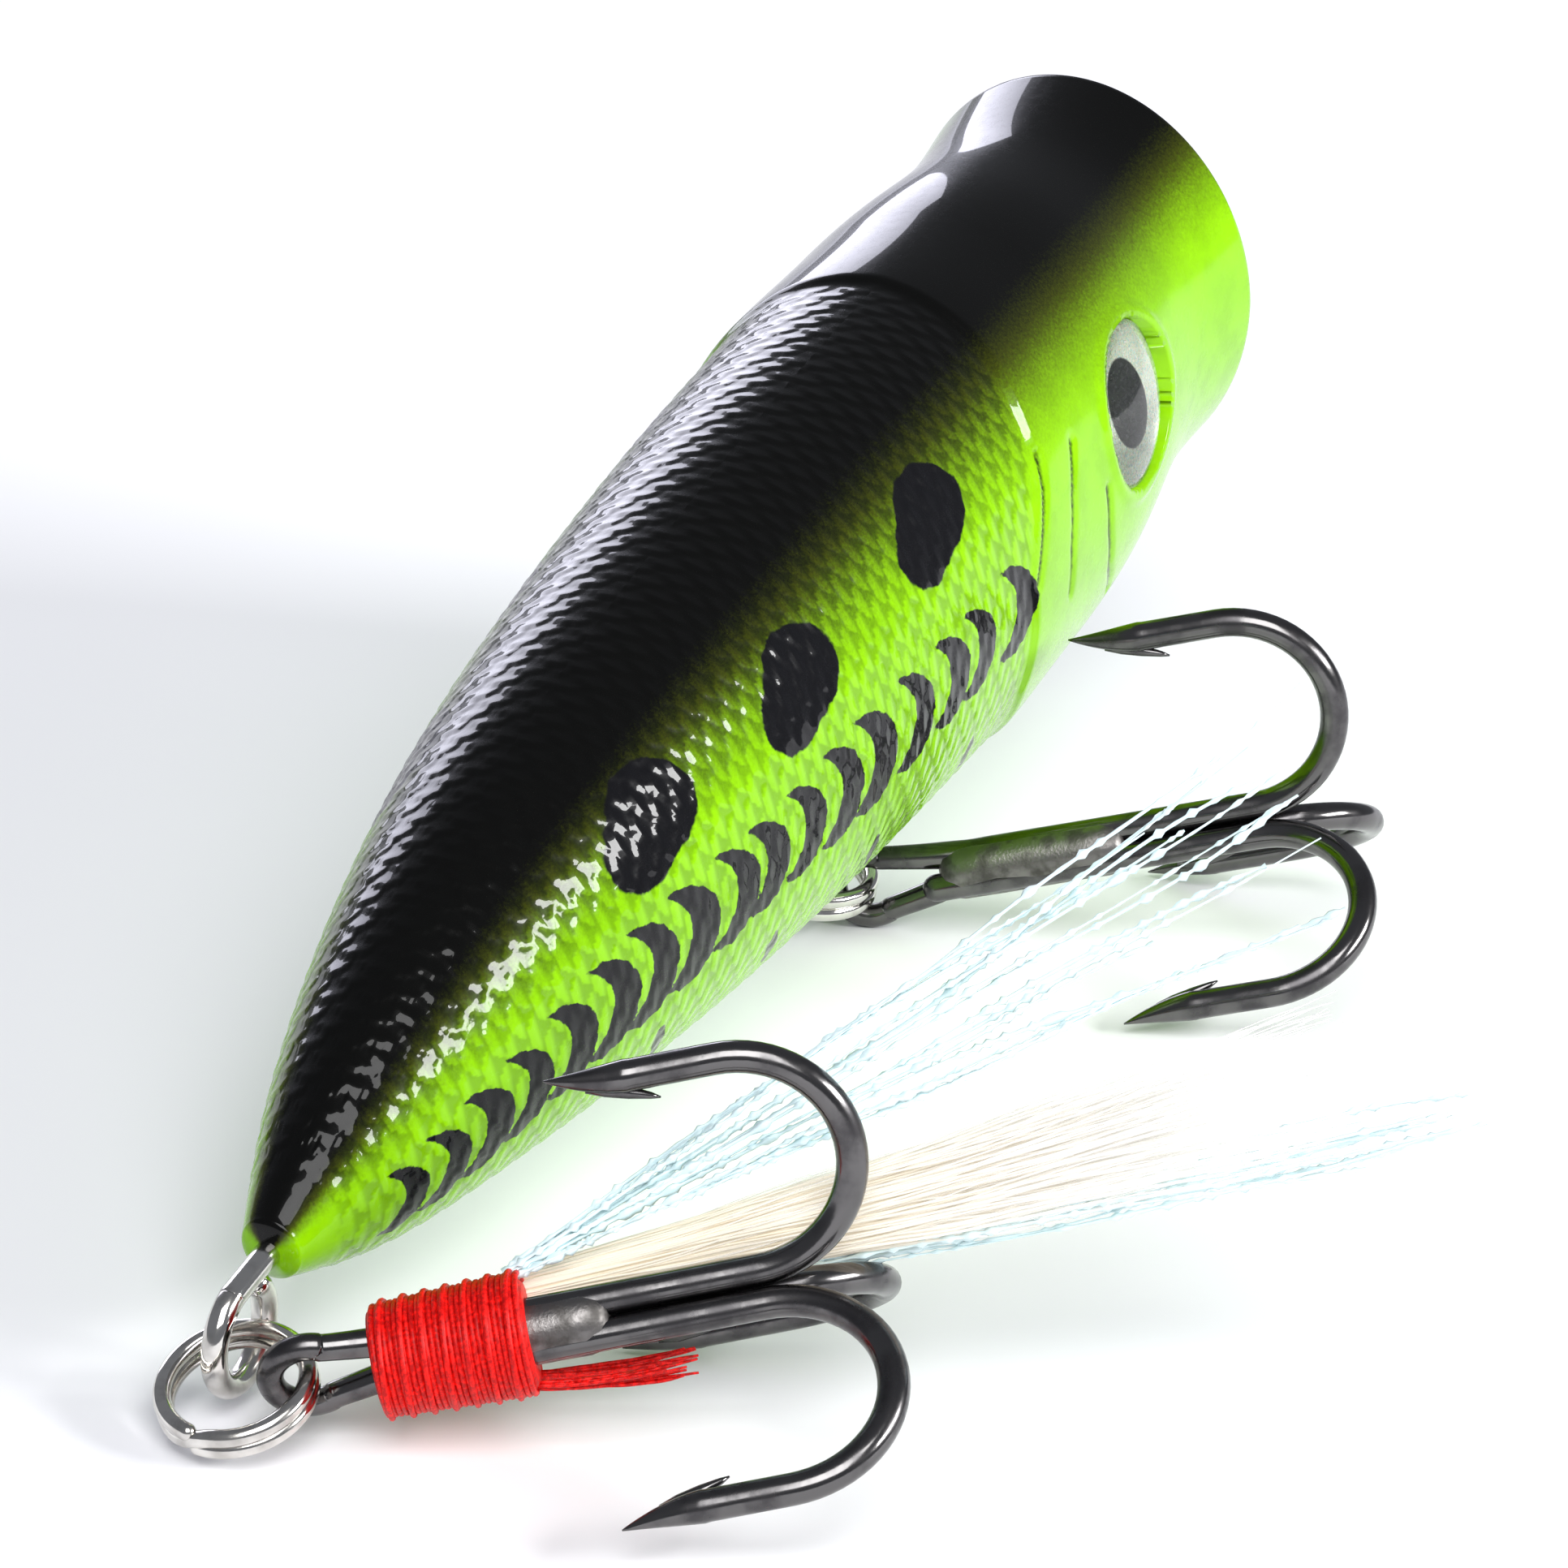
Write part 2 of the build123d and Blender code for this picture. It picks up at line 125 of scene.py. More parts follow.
class BodyPaint(bpy.types.PropertyGroup):
    back: tint_of("Back", "Black back", (0.0016, 0.0016, 0.0013))
    olive: tint_of("Olive", "Speckled shoulder", (0.050, 0.062, 0.002))
    lime: tint_of("Lime", "Flank", (0.23, 0.54, 0.001))
    deep_lime: tint_of("Deep lime", "Uneven tone of the flank", (0.20, 0.47, 0.001))
    # Valley: the darker tone laid in the low ground between the scales.
    valley: tint_of("Valley", "Paint settled between the scales", (0.012, 0.020, 0.001))
    belly: tint_of("Belly", "Pearl belly and cup", (0.50, 0.74, 0.38))
    gill: tint_of("Gill", "Lines of the gill plate", (0.02, 0.035, 0.002))
    ink: tint_of("Ink", "Blotches and crescents", (0.004, 0.004, 0.005))


class EyeSizes(bpy.types.PropertyGroup):
    along: size_of("Along", "Eye from the tail end", 51.0)
    rise: size_of("Rise", "Eye above the middle", 2.3)
    radius: size_of("Radius", "Socket radius", 2.95)
    depth: size_of("Depth", "Socket depth", 1.9)
    toe: angle_of("Toe", "Turned forward", 5.0)
    tip: angle_of("Tip", "Turned up", 12.0)


class HardwareSizes(bpy.types.PropertyGroup):
    hook_wire: size_of("Hook wire", "Diameter", 0.95)
    shank: size_of("Shank", "Eye to the start of the bend", 13.3)
    bend: size_of("Bend", "Radius of the bend", 3.3)
    offset: size_of("Offset", "Wire from the shank's middle", 0.57)
    point: size_of("Point", "Tip from the eye", 8.4)
    eye: size_of("Eye", "Mean radius of the hook's eye", 1.15)
    ring: size_of("Ring", "Mean radius of a split ring", 2.15)
    ring_wire: size_of("Ring wire", "Diameter", 0.55)
    hanger_wire: size_of("Hanger wire", "Diameter", 0.8)
    belly_rise: angle_of("Belly hook rise", "Shank above level", 16.5)
    belly_roll: angle_of("Belly hook roll", "First prong's roll", 83.0)
    tail_rise: angle_of("Tail hook rise", "Shank above level", 15.5)
    tail_roll: angle_of("Tail hook roll", "First prong's roll", 67.0)


class DressingSizes(bpy.types.PropertyGroup):
    thread: size_of("Thread", "Diameter", 0.17)
    wrap_radius: size_of("Wrap radius", "Outside of the winding", 1.9)
    wrap_start: size_of("Wrap start", "From the eye", 1.95)
    wrap_end: size_of("Wrap end", "From the eye", 6.5)
    hairs: count_of("Hairs", "Number of hairs", 800)
    flashes: count_of("Flash strands", "Strands in each spray", 16)
    seed: count_of("Seed", "Fixed draw for the fibres", 7)


class StageSizes(bpy.types.PropertyGroup):
    azimuth: angle_of("Azimuth", "Camera's heading", 25.22)
    elevation: angle_of("Elevation", "Camera above level", 34.36)
    roll: angle_of("Roll", "Camera's tilt", -1.59)
    distance: size_of("Distance", "Camera to its target", 240.4)
    lens: FloatProperty(name="Lens", description="Focal length in millimetres", default=165.8)
    target: FloatVectorProperty(name="Target", description="Point looked at", subtype="TRANSLATION",
                                default=(0.03585, 0.0, -0.00592))
    floor: tint_of("Floor", "Pale floor", (0.9, 0.9, 0.92))


GROUPS = {
    "popper_body": BodySizes,
    "popper_paint": BodyPaint,
    "popper_eye": EyeSizes,
    "popper_hardware": HardwareSizes,
    "popper_dressing": DressingSizes,
    "popper_stage": StageSizes,
}


# ---------------------------------------------------------------- geometry helpers
def at_rest(points, body):
    """Points of the level lure, x from the tail end, to their places in the row frame."""
    points = np.atleast_2d(np.asarray(points, float))
    x = points[:, 0] - (body.length - body.tie_setback)
    z = points[:, 2]
    return np.stack([NOSE.x * x - NOSE.z * z, points[:, 1], NOSE.z * x + NOSE.x * z], axis=1)


def natural_spline(knots, values, at):
    """A natural cubic curve through the knots, read at the given places."""
    step = np.diff(knots)
    count = len(knots)
    system = np.eye(count)
    right = np.zeros(count)
    for i in range(1, count - 1):
        system[i, i - 1:i + 2] = (step[i - 1], 2 * (step[i - 1] + step[i]), step[i])
        right[i] = 6 * ((values[i + 1] - values[i]) / step[i] - (values[i] - values[i - 1]) / step[i - 1])
    bend = np.linalg.solve(system, right)
    span = np.clip(np.searchsorted(knots, at) - 1, 0, count - 2)
    width = step[span]
    low = (knots[span + 1] - at) / width
    high = (at - knots[span]) / width
    curve = (low**3 - low) * bend[span] + (high**3 - high) * bend[span + 1]
    return low * values[span] + high * values[span + 1] + curve * width**2 / 6


def sections(x, body):
    """Half height, half width and centre height at x."""
    share = np.clip(x / body.length, 0, 1)
    height = natural_spline(STATIONS[:, 0], STATIONS[:, 1], share) * body.depth / 2
    width = natural_spline(STATIONS[:, 0], STATIONS[:, 2], share) * body.width / 2
    centre = natural_spline(STATIONS[:, 0], STATIONS[:, 3], share) * body.depth
    return height, width, centre


def smooth_step(value, low, high):
    """0 to 1 from one value to another, with soft ends."""
    share = np.clip((value - low) / (high - low), 0, 1)
    return share * share * (3 - 2 * share)


def make_object(name, vertices, faces, smooth=True):
    mesh = bpy.data.meshes.new(name)
    mesh.from_pydata([tuple(v) for v in vertices], [], [tuple(f) for f in faces])
    mesh.polygons.foreach_set("use_smooth", [smooth] * len(mesh.polygons))
    mesh.update()
    piece = bpy.data.objects.new(name, mesh)
    bpy.context.scene.collection.objects.link(piece)
    return piece


def give_float(mesh, name, values):
    attribute = mesh.attributes.new(name, "FLOAT", "POINT")
    attribute.data.foreach_set("value", np.asarray(values, np.float32))


def finish_piece(piece, body, slot, look, node):
    """Gives a piece its look and the body it rides on, and hides the CAD node it stands for. The slot is not
    used.
    """
    piece.data.materials.clear()
    piece.data.materials.append(look_named(look))
    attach(piece, body)
    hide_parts(node)


def through(points, steps):
    """A smooth line through a few points."""
    points = np.asarray(points, float)
    ends = np.vstack([2 * points[0] - points[1], points, 2 * points[-1] - points[-2]])
    line = []
    for i in range(1, len(ends) - 2):
        a, b, c, d = ends[i - 1:i + 3]
        for t in np.linspace(0, 1, steps, endpoint=False):
            line.append(0.5 * (2 * b + (c - a) * t + (2 * a - 5 * b + 4 * c - d) * t**2
                               + (3 * b - a - 3 * c + d) * t**3))
    line.append(points[-1])
    return np.array(line)


def ring_quads(start, rows, sides):
    """Faces between neighbouring rings of points; the first ring starts at a vertex number."""
    faces = []
    for ring in range(start, start + (rows - 1) * sides, sides):
        for k in range(sides):
            n = (k + 1) % sides
            faces.append((ring + k, ring + n, ring + sides + n, ring + sides + k))
    return faces


def fan(pole, ring, sides):
    """Faces from one vertex to a ring of points."""
    return [(pole, ring + k, ring + (k + 1) % sides) for k in range(sides)]


def flipped(faces):
    return [face[::-1] for face in faces]


def tube(line, radius, sides):
    """Vertices and faces of a closed round tube along a line; the radius may change on the way."""
    line = np.asarray(line, float)
    count = len(line)
    radius = np.broadcast_to(np.asarray(radius, float), (count,))
    tangent = np.gradient(line, axis=0)
    tangent /= np.linalg.norm(tangent, axis=1)[:, None]
    side = np.cross(tangent[0], (0.31, 0.52, 0.79))
    turn = np.arange(sides) * 2 * pi / sides
    rings = []
    for i in range(count):
        side = side - tangent[i] * side.dot(tangent[i])
        side /= np.linalg.norm(side)
        other = np.cross(tangent[i], side)
        rings.append(line[i] + radius[i] * (np.cos(turn)[:, None] * side + np.sin(turn)[:, None] * other))
    vertices = np.vstack(rings + [line[:1], line[-1:]])
    faces = ring_quads(0, count, sides) + flipped(fan(count * sides, 0, sides))
    return vertices, faces + fan(count * sides + 1, (count - 1) * sides, sides)


def round_ends(line, radius, rings=5):
    """Extra points that close a tube's two ends with half balls."""
    line = np.asarray(line, float)
    radius = np.broadcast_to(np.asarray(radius, float), (len(line),)).copy()
    out_line, out_radius = [line], [radius]
    for end, inner in ((0, 1), (-1, -2)):
        direction = line[end] - line[inner]
        direction /= np.linalg.norm(direction)
        angles = np.linspace(0, pi / 2, rings + 1)[1:] * 0.985
        points = [line[end] + direction * radius[end] * sin(a) for a in angles]
        sizes = [radius[end] * cos(a) for a in angles]
        if end == 0:
            out_line.insert(0, np.array(points[::-1]))
            out_radius.insert(0, np.array(sizes[::-1]))
        else:
            out_line.append(np.array(points))
            out_radius.append(np.array(sizes))
    return np.vstack(out_line), np.concatenate(out_radius)


def joined(parts):
    """One set of vertices and faces from several."""
    vertices, faces, start = [], [], 0
    for part_vertices, part_faces in parts:
        vertices.append(part_vertices)
        faces += [tuple(i + start for i in face) for face in part_faces]
        start += len(part_vertices)
    return np.vstack(vertices), faces


def lathe(profile, sides):
    """A closed turned shape about x from (x, radius) points that start and end on the axis."""
    profile = np.asarray(profile, float)
    turn = np.arange(sides) * 2 * pi / sides
    vertices = [(profile[0, 0], 0, 0)]
    for x, r in profile[1:-1]:
        vertices += [(x, r * cos(a), r * sin(a)) for a in turn]
    vertices.append((profile[-1, 0], 0, 0))
    rows = len(profile) - 2
    faces = flipped(fan(0, 1, sides)) + ring_quads(1, rows, sides)
    return np.array(vertices), faces + fan(len(vertices) - 1, 1 + (rows - 1) * sides, sides)


# ---------------------------------------------------------------- material helpers
class Nodes:
    """A short way to write a node tree."""

    def __init__(self, tree):
        self.tree = tree

    def feed(self, node, inputs):
        """Links or sets each input of a node."""
        for key, value in inputs.items():
            socket = node.inputs[key]
            if isinstance(value, bpy.types.NodeSocket):
                self.tree.links.new(value, socket)
            else:
                socket.default_value = value

    def add(self, kind, inputs=None, **settings):
        node = self.tree.nodes.new(kind)
        for key, value in settings.items():
            setattr(node, key, value)
        self.feed(node, inputs or {})
        return node

    def math(self, operation, a, b=0.0):
        return self.add("ShaderNodeMath", {0: a, 1: b}, operation=operation).outputs[0]

    def times(self, first, *others):
        for other in others:
            first = self.math("MULTIPLY", first, other)
        return first

    def plus(self, first, *others):
        for other in others:
            first = self.math("ADD", first, other)
        return first

    def minus(self, a, b):
        return self.math("SUBTRACT", a, b)

    def scaled(self, value, factor, start):
        return self.plus(self.times(value, factor), start)

    def mix(self, share, a, b):
        """A blend of two colours."""
        inputs = {0: share}
        for index, colour in ((6, a), (7, b)):
            linked = isinstance(colour, bpy.types.NodeSocket)
            inputs[index] = colour if linked else (*tuple(colour)[:3], 1.0)
        return self.add("ShaderNodeMix", inputs, data_type="RGBA").outputs[2]

    def ramp(self, value, low, high):
        """0 to 1 from one value to another, with soft ends."""
        inputs = {0: value, 1: low, 2: high}
        return self.add("ShaderNodeMapRange", inputs, interpolation_type="SMOOTHSTEP").outputs[0]

    def colours(self, value, stops):
        """A colour ramp through (position, colour) stops."""
        ramp = self.add("ShaderNodeValToRGB", {"Fac": value})
        elements = ramp.color_ramp.elements
        for element, (position, colour) in zip(elements, (stops[0], stops[-1])):
            element.position, element.color = position, (*colour, 1)
        for position, colour in stops[1:-1]:
            elements.new(position).color = (*colour, 1)
        return ramp.outputs[0]

    def point(self, x, y=0.0, z=0.0):
        return self.add("ShaderNodeCombineXYZ", {0: x, 1: y, 2: z}).outputs[0]

    def noise(self, scale, detail=3.0, roughness=0.5, vector=None):
        vector = vector or self.add("ShaderNodeTexCoord").outputs["Object"]
        inputs = {"Vector": vector, "Scale": scale, "Detail": detail, "Roughness": roughness}
        return self.add("ShaderNodeTexNoise", inputs).outputs["Fac"]

    def bump(self, height, strength, distance):
        inputs = {"Strength": strength, "Distance": distance, "Height": height}
        return self.add("ShaderNodeBump", inputs).outputs[0]

    def attribute(self, name):
        return self.add("ShaderNodeAttribute", attribute_name=name).outputs["Fac"]

    def store(self, geometry, name, value):
        inputs = {"Geometry": geometry, "Name": name, "Value": value}
        node = self.add("GeometryNodeStoreNamedAttribute", inputs, data_type="FLOAT", domain="POINT")
        return node.outputs[0]


def new_material(name):
    material = bpy.data.materials.new(name)
    material.use_nodes = True
    shader = next(n for n in material.node_tree.nodes if n.type == "BSDF_PRINCIPLED")
    return Nodes(material.node_tree), shader


def shared_group(name, inputs, outputs, draw):
    """A shader node group of float sockets, drawn once; draw gives what goes to each output."""
    tree = bpy.data.node_groups.get(name)
    if tree is None:
        tree = bpy.data.node_groups.new(name, "ShaderNodeTree")
        for label, value in inputs.items():
            socket = tree.interface.new_socket(label, in_out="INPUT", socket_type="NodeSocketFloat")
            socket.default_value = value
        for label in outputs:
            tree.interface.new_socket(label, in_out="OUTPUT", socket_type="NodeSocketFloat")
        nodes = Nodes(tree)
        nodes.add("NodeGroupOutput", draw(nodes, nodes.add("NodeGroupInput").outputs))
    return tree


def draw_wear(nodes, entry):
    """Fine scratches and handling dust: roughness, bump height and where the tone darkens."""
    place = nodes.add("ShaderNodeTexCoord").outputs["Object"]
    mask = nodes.ramp(nodes.noise(entry["Scale"], 4.0, 0.5, place), 0.42, 0.68)
    rough = nodes.plus(entry["Base roughness"], nodes.times(mask, entry["Spread"]))
    fine = nodes.noise(nodes.times(entry["Scale"], 6.0), 2.0, 0.5, place)
    return {"Roughness": rough, "Height": fine, "Mask": mask}


def metal(name, bright, dark, roughness, spread, scale, bump=0.1):
    """Bare or plated metal with uneven tone, fine wear and a slight grain."""
    nodes, shader = new_material(name)
    tree = shared_group("handling_wear", {"Scale": 900.0, "Base roughness": 0.2, "Spread": 0.12},
                        ("Roughness", "Height", "Mask"), draw_wear)
    wear = nodes.add("ShaderNodeGroup", node_tree=tree)
    nodes.feed(wear, {"Scale": scale, "Base roughness": roughness, "Spread": spread})
    nodes.feed(shader, {
        "Base Color": nodes.mix(wear.outputs["Mask"], bright, dark),
        "Roughness": wear.outputs["Roughness"],
        "Metallic": 1.0,
        "Normal": nodes.bump(wear.outputs["Height"], bump, 0.02 * MM),
    })


def draw_airbrush(nodes, entry):
    """A soft edge broken into fine dots."""
    place = nodes.add("ShaderNodeTexCoord").outputs["Object"]
    dots = nodes.noise(entry["Scale"], 2.0, 0.75, place)
    shift = nodes.times(nodes.minus(dots, 0.5), entry["Speckle"])
    return {"Mask": nodes.ramp(nodes.plus(entry["Value"], shift), entry["Low"], entry["High"])}


def edge_mask(nodes, value, low, high, speckle, scale):
    """Where paint lands on either side of a sprayed edge."""
    defaults = {"Value": 0.0, "Low": 0.0, "High": 1.0, "Speckle": 0.3, "Scale": 4000.0}
    tree = shared_group("airbrush_edge", defaults, ("Mask",), draw_airbrush)
    group = nodes.add("ShaderNodeGroup", node_tree=tree)
    nodes.feed(group, {"Value": value, "Low": low, "High": high, "Speckle": speckle, "Scale": scale})
    return group.outputs["Mask"]


def body_paint(name):
    """Airbrushed paint under a clear coat; every marking follows an attribute of the skin."""
    paint = bpy.context.scene.popper_paint
    nodes, shader = new_material(name)
    around = nodes.attribute("around")
    belly = edge_mask(nodes, around, -0.48, -0.90, 0.10, 2500.0)
    shoulder = edge_mask(nodes, around, 0.26, 0.60, 0.16, 8000.0)
    back = edge_mask(nodes, around, 0.46, 0.70, 0.14, 9000.0)
    mottle = nodes.ramp(nodes.noise(620.0, 4.0, 0.6), 0.38, 0.66)
    colour = nodes.mix(belly, nodes.mix(mottle, paint.lime, paint.deep_lime), paint.belly)
    colour = nodes.mix(shoulder, colour, paint.olive)
    # The colour turns darker where the scale relief is low, most on the shoulder.
    low_relief = nodes.ramp(nodes.attribute("relief"), 0.50, 0.05)
    darker = nodes.times(low_relief, nodes.scaled(shoulder, 0.45, 0.40))
    colour = nodes.mix(darker, colour, nodes.mix(0.82, colour, paint.valley))
    colour = nodes.mix(back, colour, paint.back)
    colour = nodes.mix(nodes.attribute("cup"), colour, paint.belly)
    for field, low, high, speckle, scale, ink in (
        ("gills", 0.16, 0.02, 0.10, 5200.0, paint.gill),
        ("blotches", 0.05, -0.05, 0.16, 2600.0, paint.ink),
        ("marks", 0.03, -0.03, 0.16, 3800.0, paint.ink),
    ):
        colour = nodes.mix(edge_mask(nodes, nodes.attribute(field), low, high, speckle, scale), colour, ink)
    dust = nodes.ramp(nodes.noise(2400.0, 5.0, 0.7), 0.35, 0.75)
    nodes.feed(shader, {
        "Base Color": colour,
        "Roughness": nodes.scaled(dust, 0.10, 0.22),
        "Coat Weight": 0.6,
        "Coat Roughness": 0.035,
        "Coat IOR": 1.36,
        "Specular IOR Level": 0.05,
        "Normal": nodes.bump(nodes.noise(1500.0, 2.0), 0.10, 0.04 * MM),
    })


def iris_foil(name):
    """Silver holographic foil with a black oval pupil."""
    nodes, shader = new_material(name)
    pupil = nodes.ramp(nodes.attribute("pupil"), 1.04, 0.98)
    out = nodes.attribute("out")
    rays = nodes.noise(26.0, 3.0, 0.6, nodes.point(nodes.times(nodes.attribute("turn"), 3.0), out))
    sparkle = nodes.noise(9000.0, 2.0, 0.7)
    silver = nodes.colours(rays, (
        (0.3, (0.30, 0.36, 0.42)), (0.42, (0.55, 0.72, 0.78)), (0.5, (0.74, 0.76, 0.52)),
        (0.6, (0.76, 0.60, 0.66)), (0.72, (0.92, 0.94, 0.88)),
    ))
    silver = nodes.mix(nodes.ramp(sparkle, 0.5, 0.75), silver, (0.95, 0.97, 0.95))
    silver = nodes.mix(nodes.ramp(out, 0.90, 0.98), silver, (0.05, 0.08, 0.02))
    nodes.feed(shader, {
        "Base Color": nodes.mix(pupil, silver, (0.002, 0.002, 0.003)),
        "Metallic": nodes.scaled(pupil, -0.9, 0.9),
        "Roughness": nodes.scaled(sparkle, 0.25, 0.16),
    })


def clear_resin(name):
    """Cast clear dome with a faint smear."""
    nodes, shader = new_material(name)
    nodes.feed(shader, {
        "Base Color": (0.97, 1.0, 0.97, 1),
        "Transmission Weight": 1.0,
        "IOR": 1.49,
        "Roughness": nodes.times(nodes.ramp(nodes.noise(700.0, 3.0), 0.5, 0.8), 0.03),
    })


def red_thread(name):
    """Twisted thread with loose fibres."""
    nodes, shader = new_material(name)
    fibre = nodes.noise(7000.0, 3.0, 0.7)
    twist = nodes.math("SINE", nodes.times(nodes.attribute("along"), 60.0))
    nodes.feed(shader, {
        "Base Color": nodes.mix(nodes.ramp(fibre, 0.35, 0.7), (0.42, 0.001, 0.001), (0.95, 0.010, 0.006)),
        "Roughness": nodes.scaled(fibre, 0.3, 0.3),
        "Specular IOR Level": 0.25,
        "Normal": nodes.bump(nodes.plus(twist, fibre), 0.5, 0.03 * MM),
    })


def pale_hair(name):
    """Cream hair that bleaches and thins toward its tips, with a faint painted glow that stands in for light
    through the thin strands.
    """
    nodes, shader = new_material(name)
    along, draw = nodes.attribute("along"), nodes.attribute("draw")
    root = nodes.mix(draw, (0.70, 0.58, 0.38), (0.95, 0.89, 0.76))
    nodes.feed(shader, {
        "Base Color": nodes.mix(nodes.ramp(along, 0.25, 0.85), root, (1.0, 0.99, 0.97)),
        "Roughness": nodes.scaled(draw, 0.2, 0.35),
        "Alpha": nodes.scaled(nodes.ramp(along, 0.2, 0.9), -0.55, 0.85),
        # Painted glow: a faint emission stands in for light passing through the thin hairs.
        "Emission Color": (1.0, 0.93, 0.80, 1),
        "Emission Strength": 0.12,
    })


def flash_film(name):
    """Iridescent film: colour drifts along and between the strands, with painted glints where the base colour
    turns near white on the beads.
    """
    nodes, shader = new_material(name)
    along, draw, painted_glint = (nodes.attribute(label) for label in ("along", "draw", "bead"))
    place = nodes.point(nodes.times(along, 3.5), nodes.times(draw, 30.0))
    toward_root = nodes.times(nodes.minus(0.42, along), 0.16)
    film = nodes.colours(nodes.plus(nodes.noise(4.0, 3.0, 0.6, place), toward_root), (
        (0.34, (0.20, 0.10, 0.52)), (0.43, (0.06, 0.30, 0.60)), (0.5, (0.12, 0.55, 0.68)),
        (0.58, (0.01, 0.40, 0.46)), (0.66, (0.01, 0.52, 0.28)),
    ))
    nodes.feed(shader, {
        # Painted glint: the base colour goes near white on each bead, with metal and gloss raised there too.
        "Base Color": nodes.mix(nodes.times(painted_glint, 0.55), film, (0.80, 1.0, 0.95)),
        "Metallic": nodes.scaled(painted_glint, 0.2, 0.2),
        "Roughness": nodes.scaled(painted_glint, -0.2, 0.35),
        "Alpha": nodes.scaled(painted_glint, 0.35, 0.6),
    })


MAKERS = {
    "airbrushed_paint": body_paint,
    "iris_foil": iris_foil,
    "clear_resin": clear_resin,
    "red_thread": red_thread,
    "pale_hair": pale_hair,
    "flash_film": flash_film,
}
# Metals: bright tone, dark tone, roughness, its spread, scale of the wear, strength of the grain.
METALS = {
    "black_nickel": ((0.15, 0.145, 0.145), (0.075, 0.072, 0.075), 0.16, 0.16, 700.0),
    "braze_collar": ((0.20, 0.19, 0.185), (0.09, 0.085, 0.08), 0.34, 0.2, 1500.0, 0.5),
    "bright_nickel": ((0.74, 0.72, 0.68), (0.5, 0.48, 0.45), 0.10, 0.14, 900.0),
    "plain_steel": ((0.5, 0.5, 0.5), (0.3, 0.3, 0.3), 0.3, 0.2, 600.0),
}


def look_named(name):
    """A finish by name, made at its first use."""
    if name not in bpy.data.materials:
        if name in METALS:
            metal(name, *METALS[name])
        else:
            MAKERS[name](name)
    return bpy.data.materials[name]


# ---------------------------------------------------------------- skin of the body
def wrapped(turn, height, width):
    """Arc length around a section from its widest point, signed upward."""
    mean = np.sqrt((np.sin(turn) * width)**2 + (np.cos(turn) * height)**2)
    step = np.diff(turn, axis=1)
    length = np.zeros_like(turn)
    length[:, 1:] = np.cumsum(0.5 * (mean[:, 1:] + mean[:, :-1]) * step, axis=1)
    middle = turn.shape[1] // 2
    return length - length[:, middle:middle + 1]


def scale_relief(x, v, pitch):
    """Height from 0 to 1 of overlapping scales whose free edges face the tail."""
    radius = 0.63 * pitch
    across = 0.74 * pitch
    row = np.floor(v / across)
    best = np.zeros_like(x)
    for dj in (-1, 0, 1, 2):
        j = row + dj
        shift = np.where(np.mod(j, 2) == 0, 0.0, 0.5 * pitch)
        column = np.floor((x - shift) / pitch)
        for di in (-1, 0, 1, 2):
            cx = (column + di) * pitch + shift
            away = np.hypot(x - cx, 0.74 * (v - j * across))
            rise = np.clip((cx + radius - x) / (2 * radius), 0, 1)
            best = np.maximum(best, rise * smooth_step(radius - away, 0.0, 0.15 * pitch))
    return np.clip((best - 0.50) / 0.45, 0, 1)


def distance_to(line, x, v):
    """Distance from points to a polyline, in the unrolled flank."""
    nearest = np.full(x.shape, 1.0)
    for (ax, av), (bx, bv) in zip(line, line[1:]):
        dx, dv = bx - ax, bv - av
        share = np.clip(((x - ax) * dx + (v - av) * dv) / (dx * dx + dv * dv), 0, 1)
        nearest = np.minimum(nearest, np.hypot(x - ax - share * dx, v - av - share * dv))
    return nearest


def arc_height(place, degrees_up, body):
    """Arc length of a marking placed by its angle around the section."""
    height, width, _ = sections(np.array([place]), body)
    turn = np.linspace(0, radians(degrees_up), 40)
    mean = np.sqrt((np.sin(turn) * width)**2 + (np.cos(turn) * height)**2)
    return float(np.sum(0.5 * (mean[1:] + mean[:-1]) * np.diff(turn)))


# Marks of the flank: millimetres from the tail end; a blotch also has its degrees around the section.
CRESCENT_PLACES = (39.9, 36.9, 34.9, 32.2, 29.5, 27.2, 24.8, 22.5, 20.6, 18.2, 15.9, 13.9, 11.75, 9.6, 7.8,
                   5.9, 4.2)
SLIM_PLACES = (37.4, 30.3, 23.4, 16.6)
BLOTCH_PLACES = ((35.9, 37.6), (26.2, 34.3), (17.5, 39.4))


def crescents(x, v, body):
    """Signed distance to the row of crescents along the flank and the slim marks below it."""
    unit = body.length / MARKED_LENGTH
    field = np.full(x.shape, 1.0 * MM)
    for k, place in enumerate(CRESCENT_PLACES):
        place *= unit
        size = (0.66 + 0.34 * float(smooth_step(place, 2.0 * unit, 14.0 * unit))) * (1 + 0.06 * sin(5.1 * k))
        angle = 3.0 if place > 13.0 * unit else 3.0 - 10.0 * (13.0 * unit - place) / (9.0 * unit)
        up = arc_height(place, angle, body)
        q = (v - up) / size
        p = (x - place) / size + 120.0 * np.clip(q, 0, None)**2 - 40.0 * np.clip(-q, 0, None)**2
        ragged = 0.05 * MM * np.sin(9.0 * q / MM + k) * np.sin(7.0 * p / MM)
        outer = np.hypot(p + 0.80 * MM, q) - 1.74 * MM + ragged
        inner = np.hypot(p + (2.16 + 0.10 * sin(3.7 * k)) * MM, q - 0.42 * MM) - 1.74 * MM
        field = np.minimum(field, np.maximum(outer, -inner) * size)
    for place in SLIM_PLACES:
        up = arc_height(place * unit, -30.0, body)
        slim = np.hypot((x - place * unit + 0.25 * (v - up)) * 3.2, v - up) - 0.95 * MM
        field = np.minimum(field, slim * 0.5)
    return field


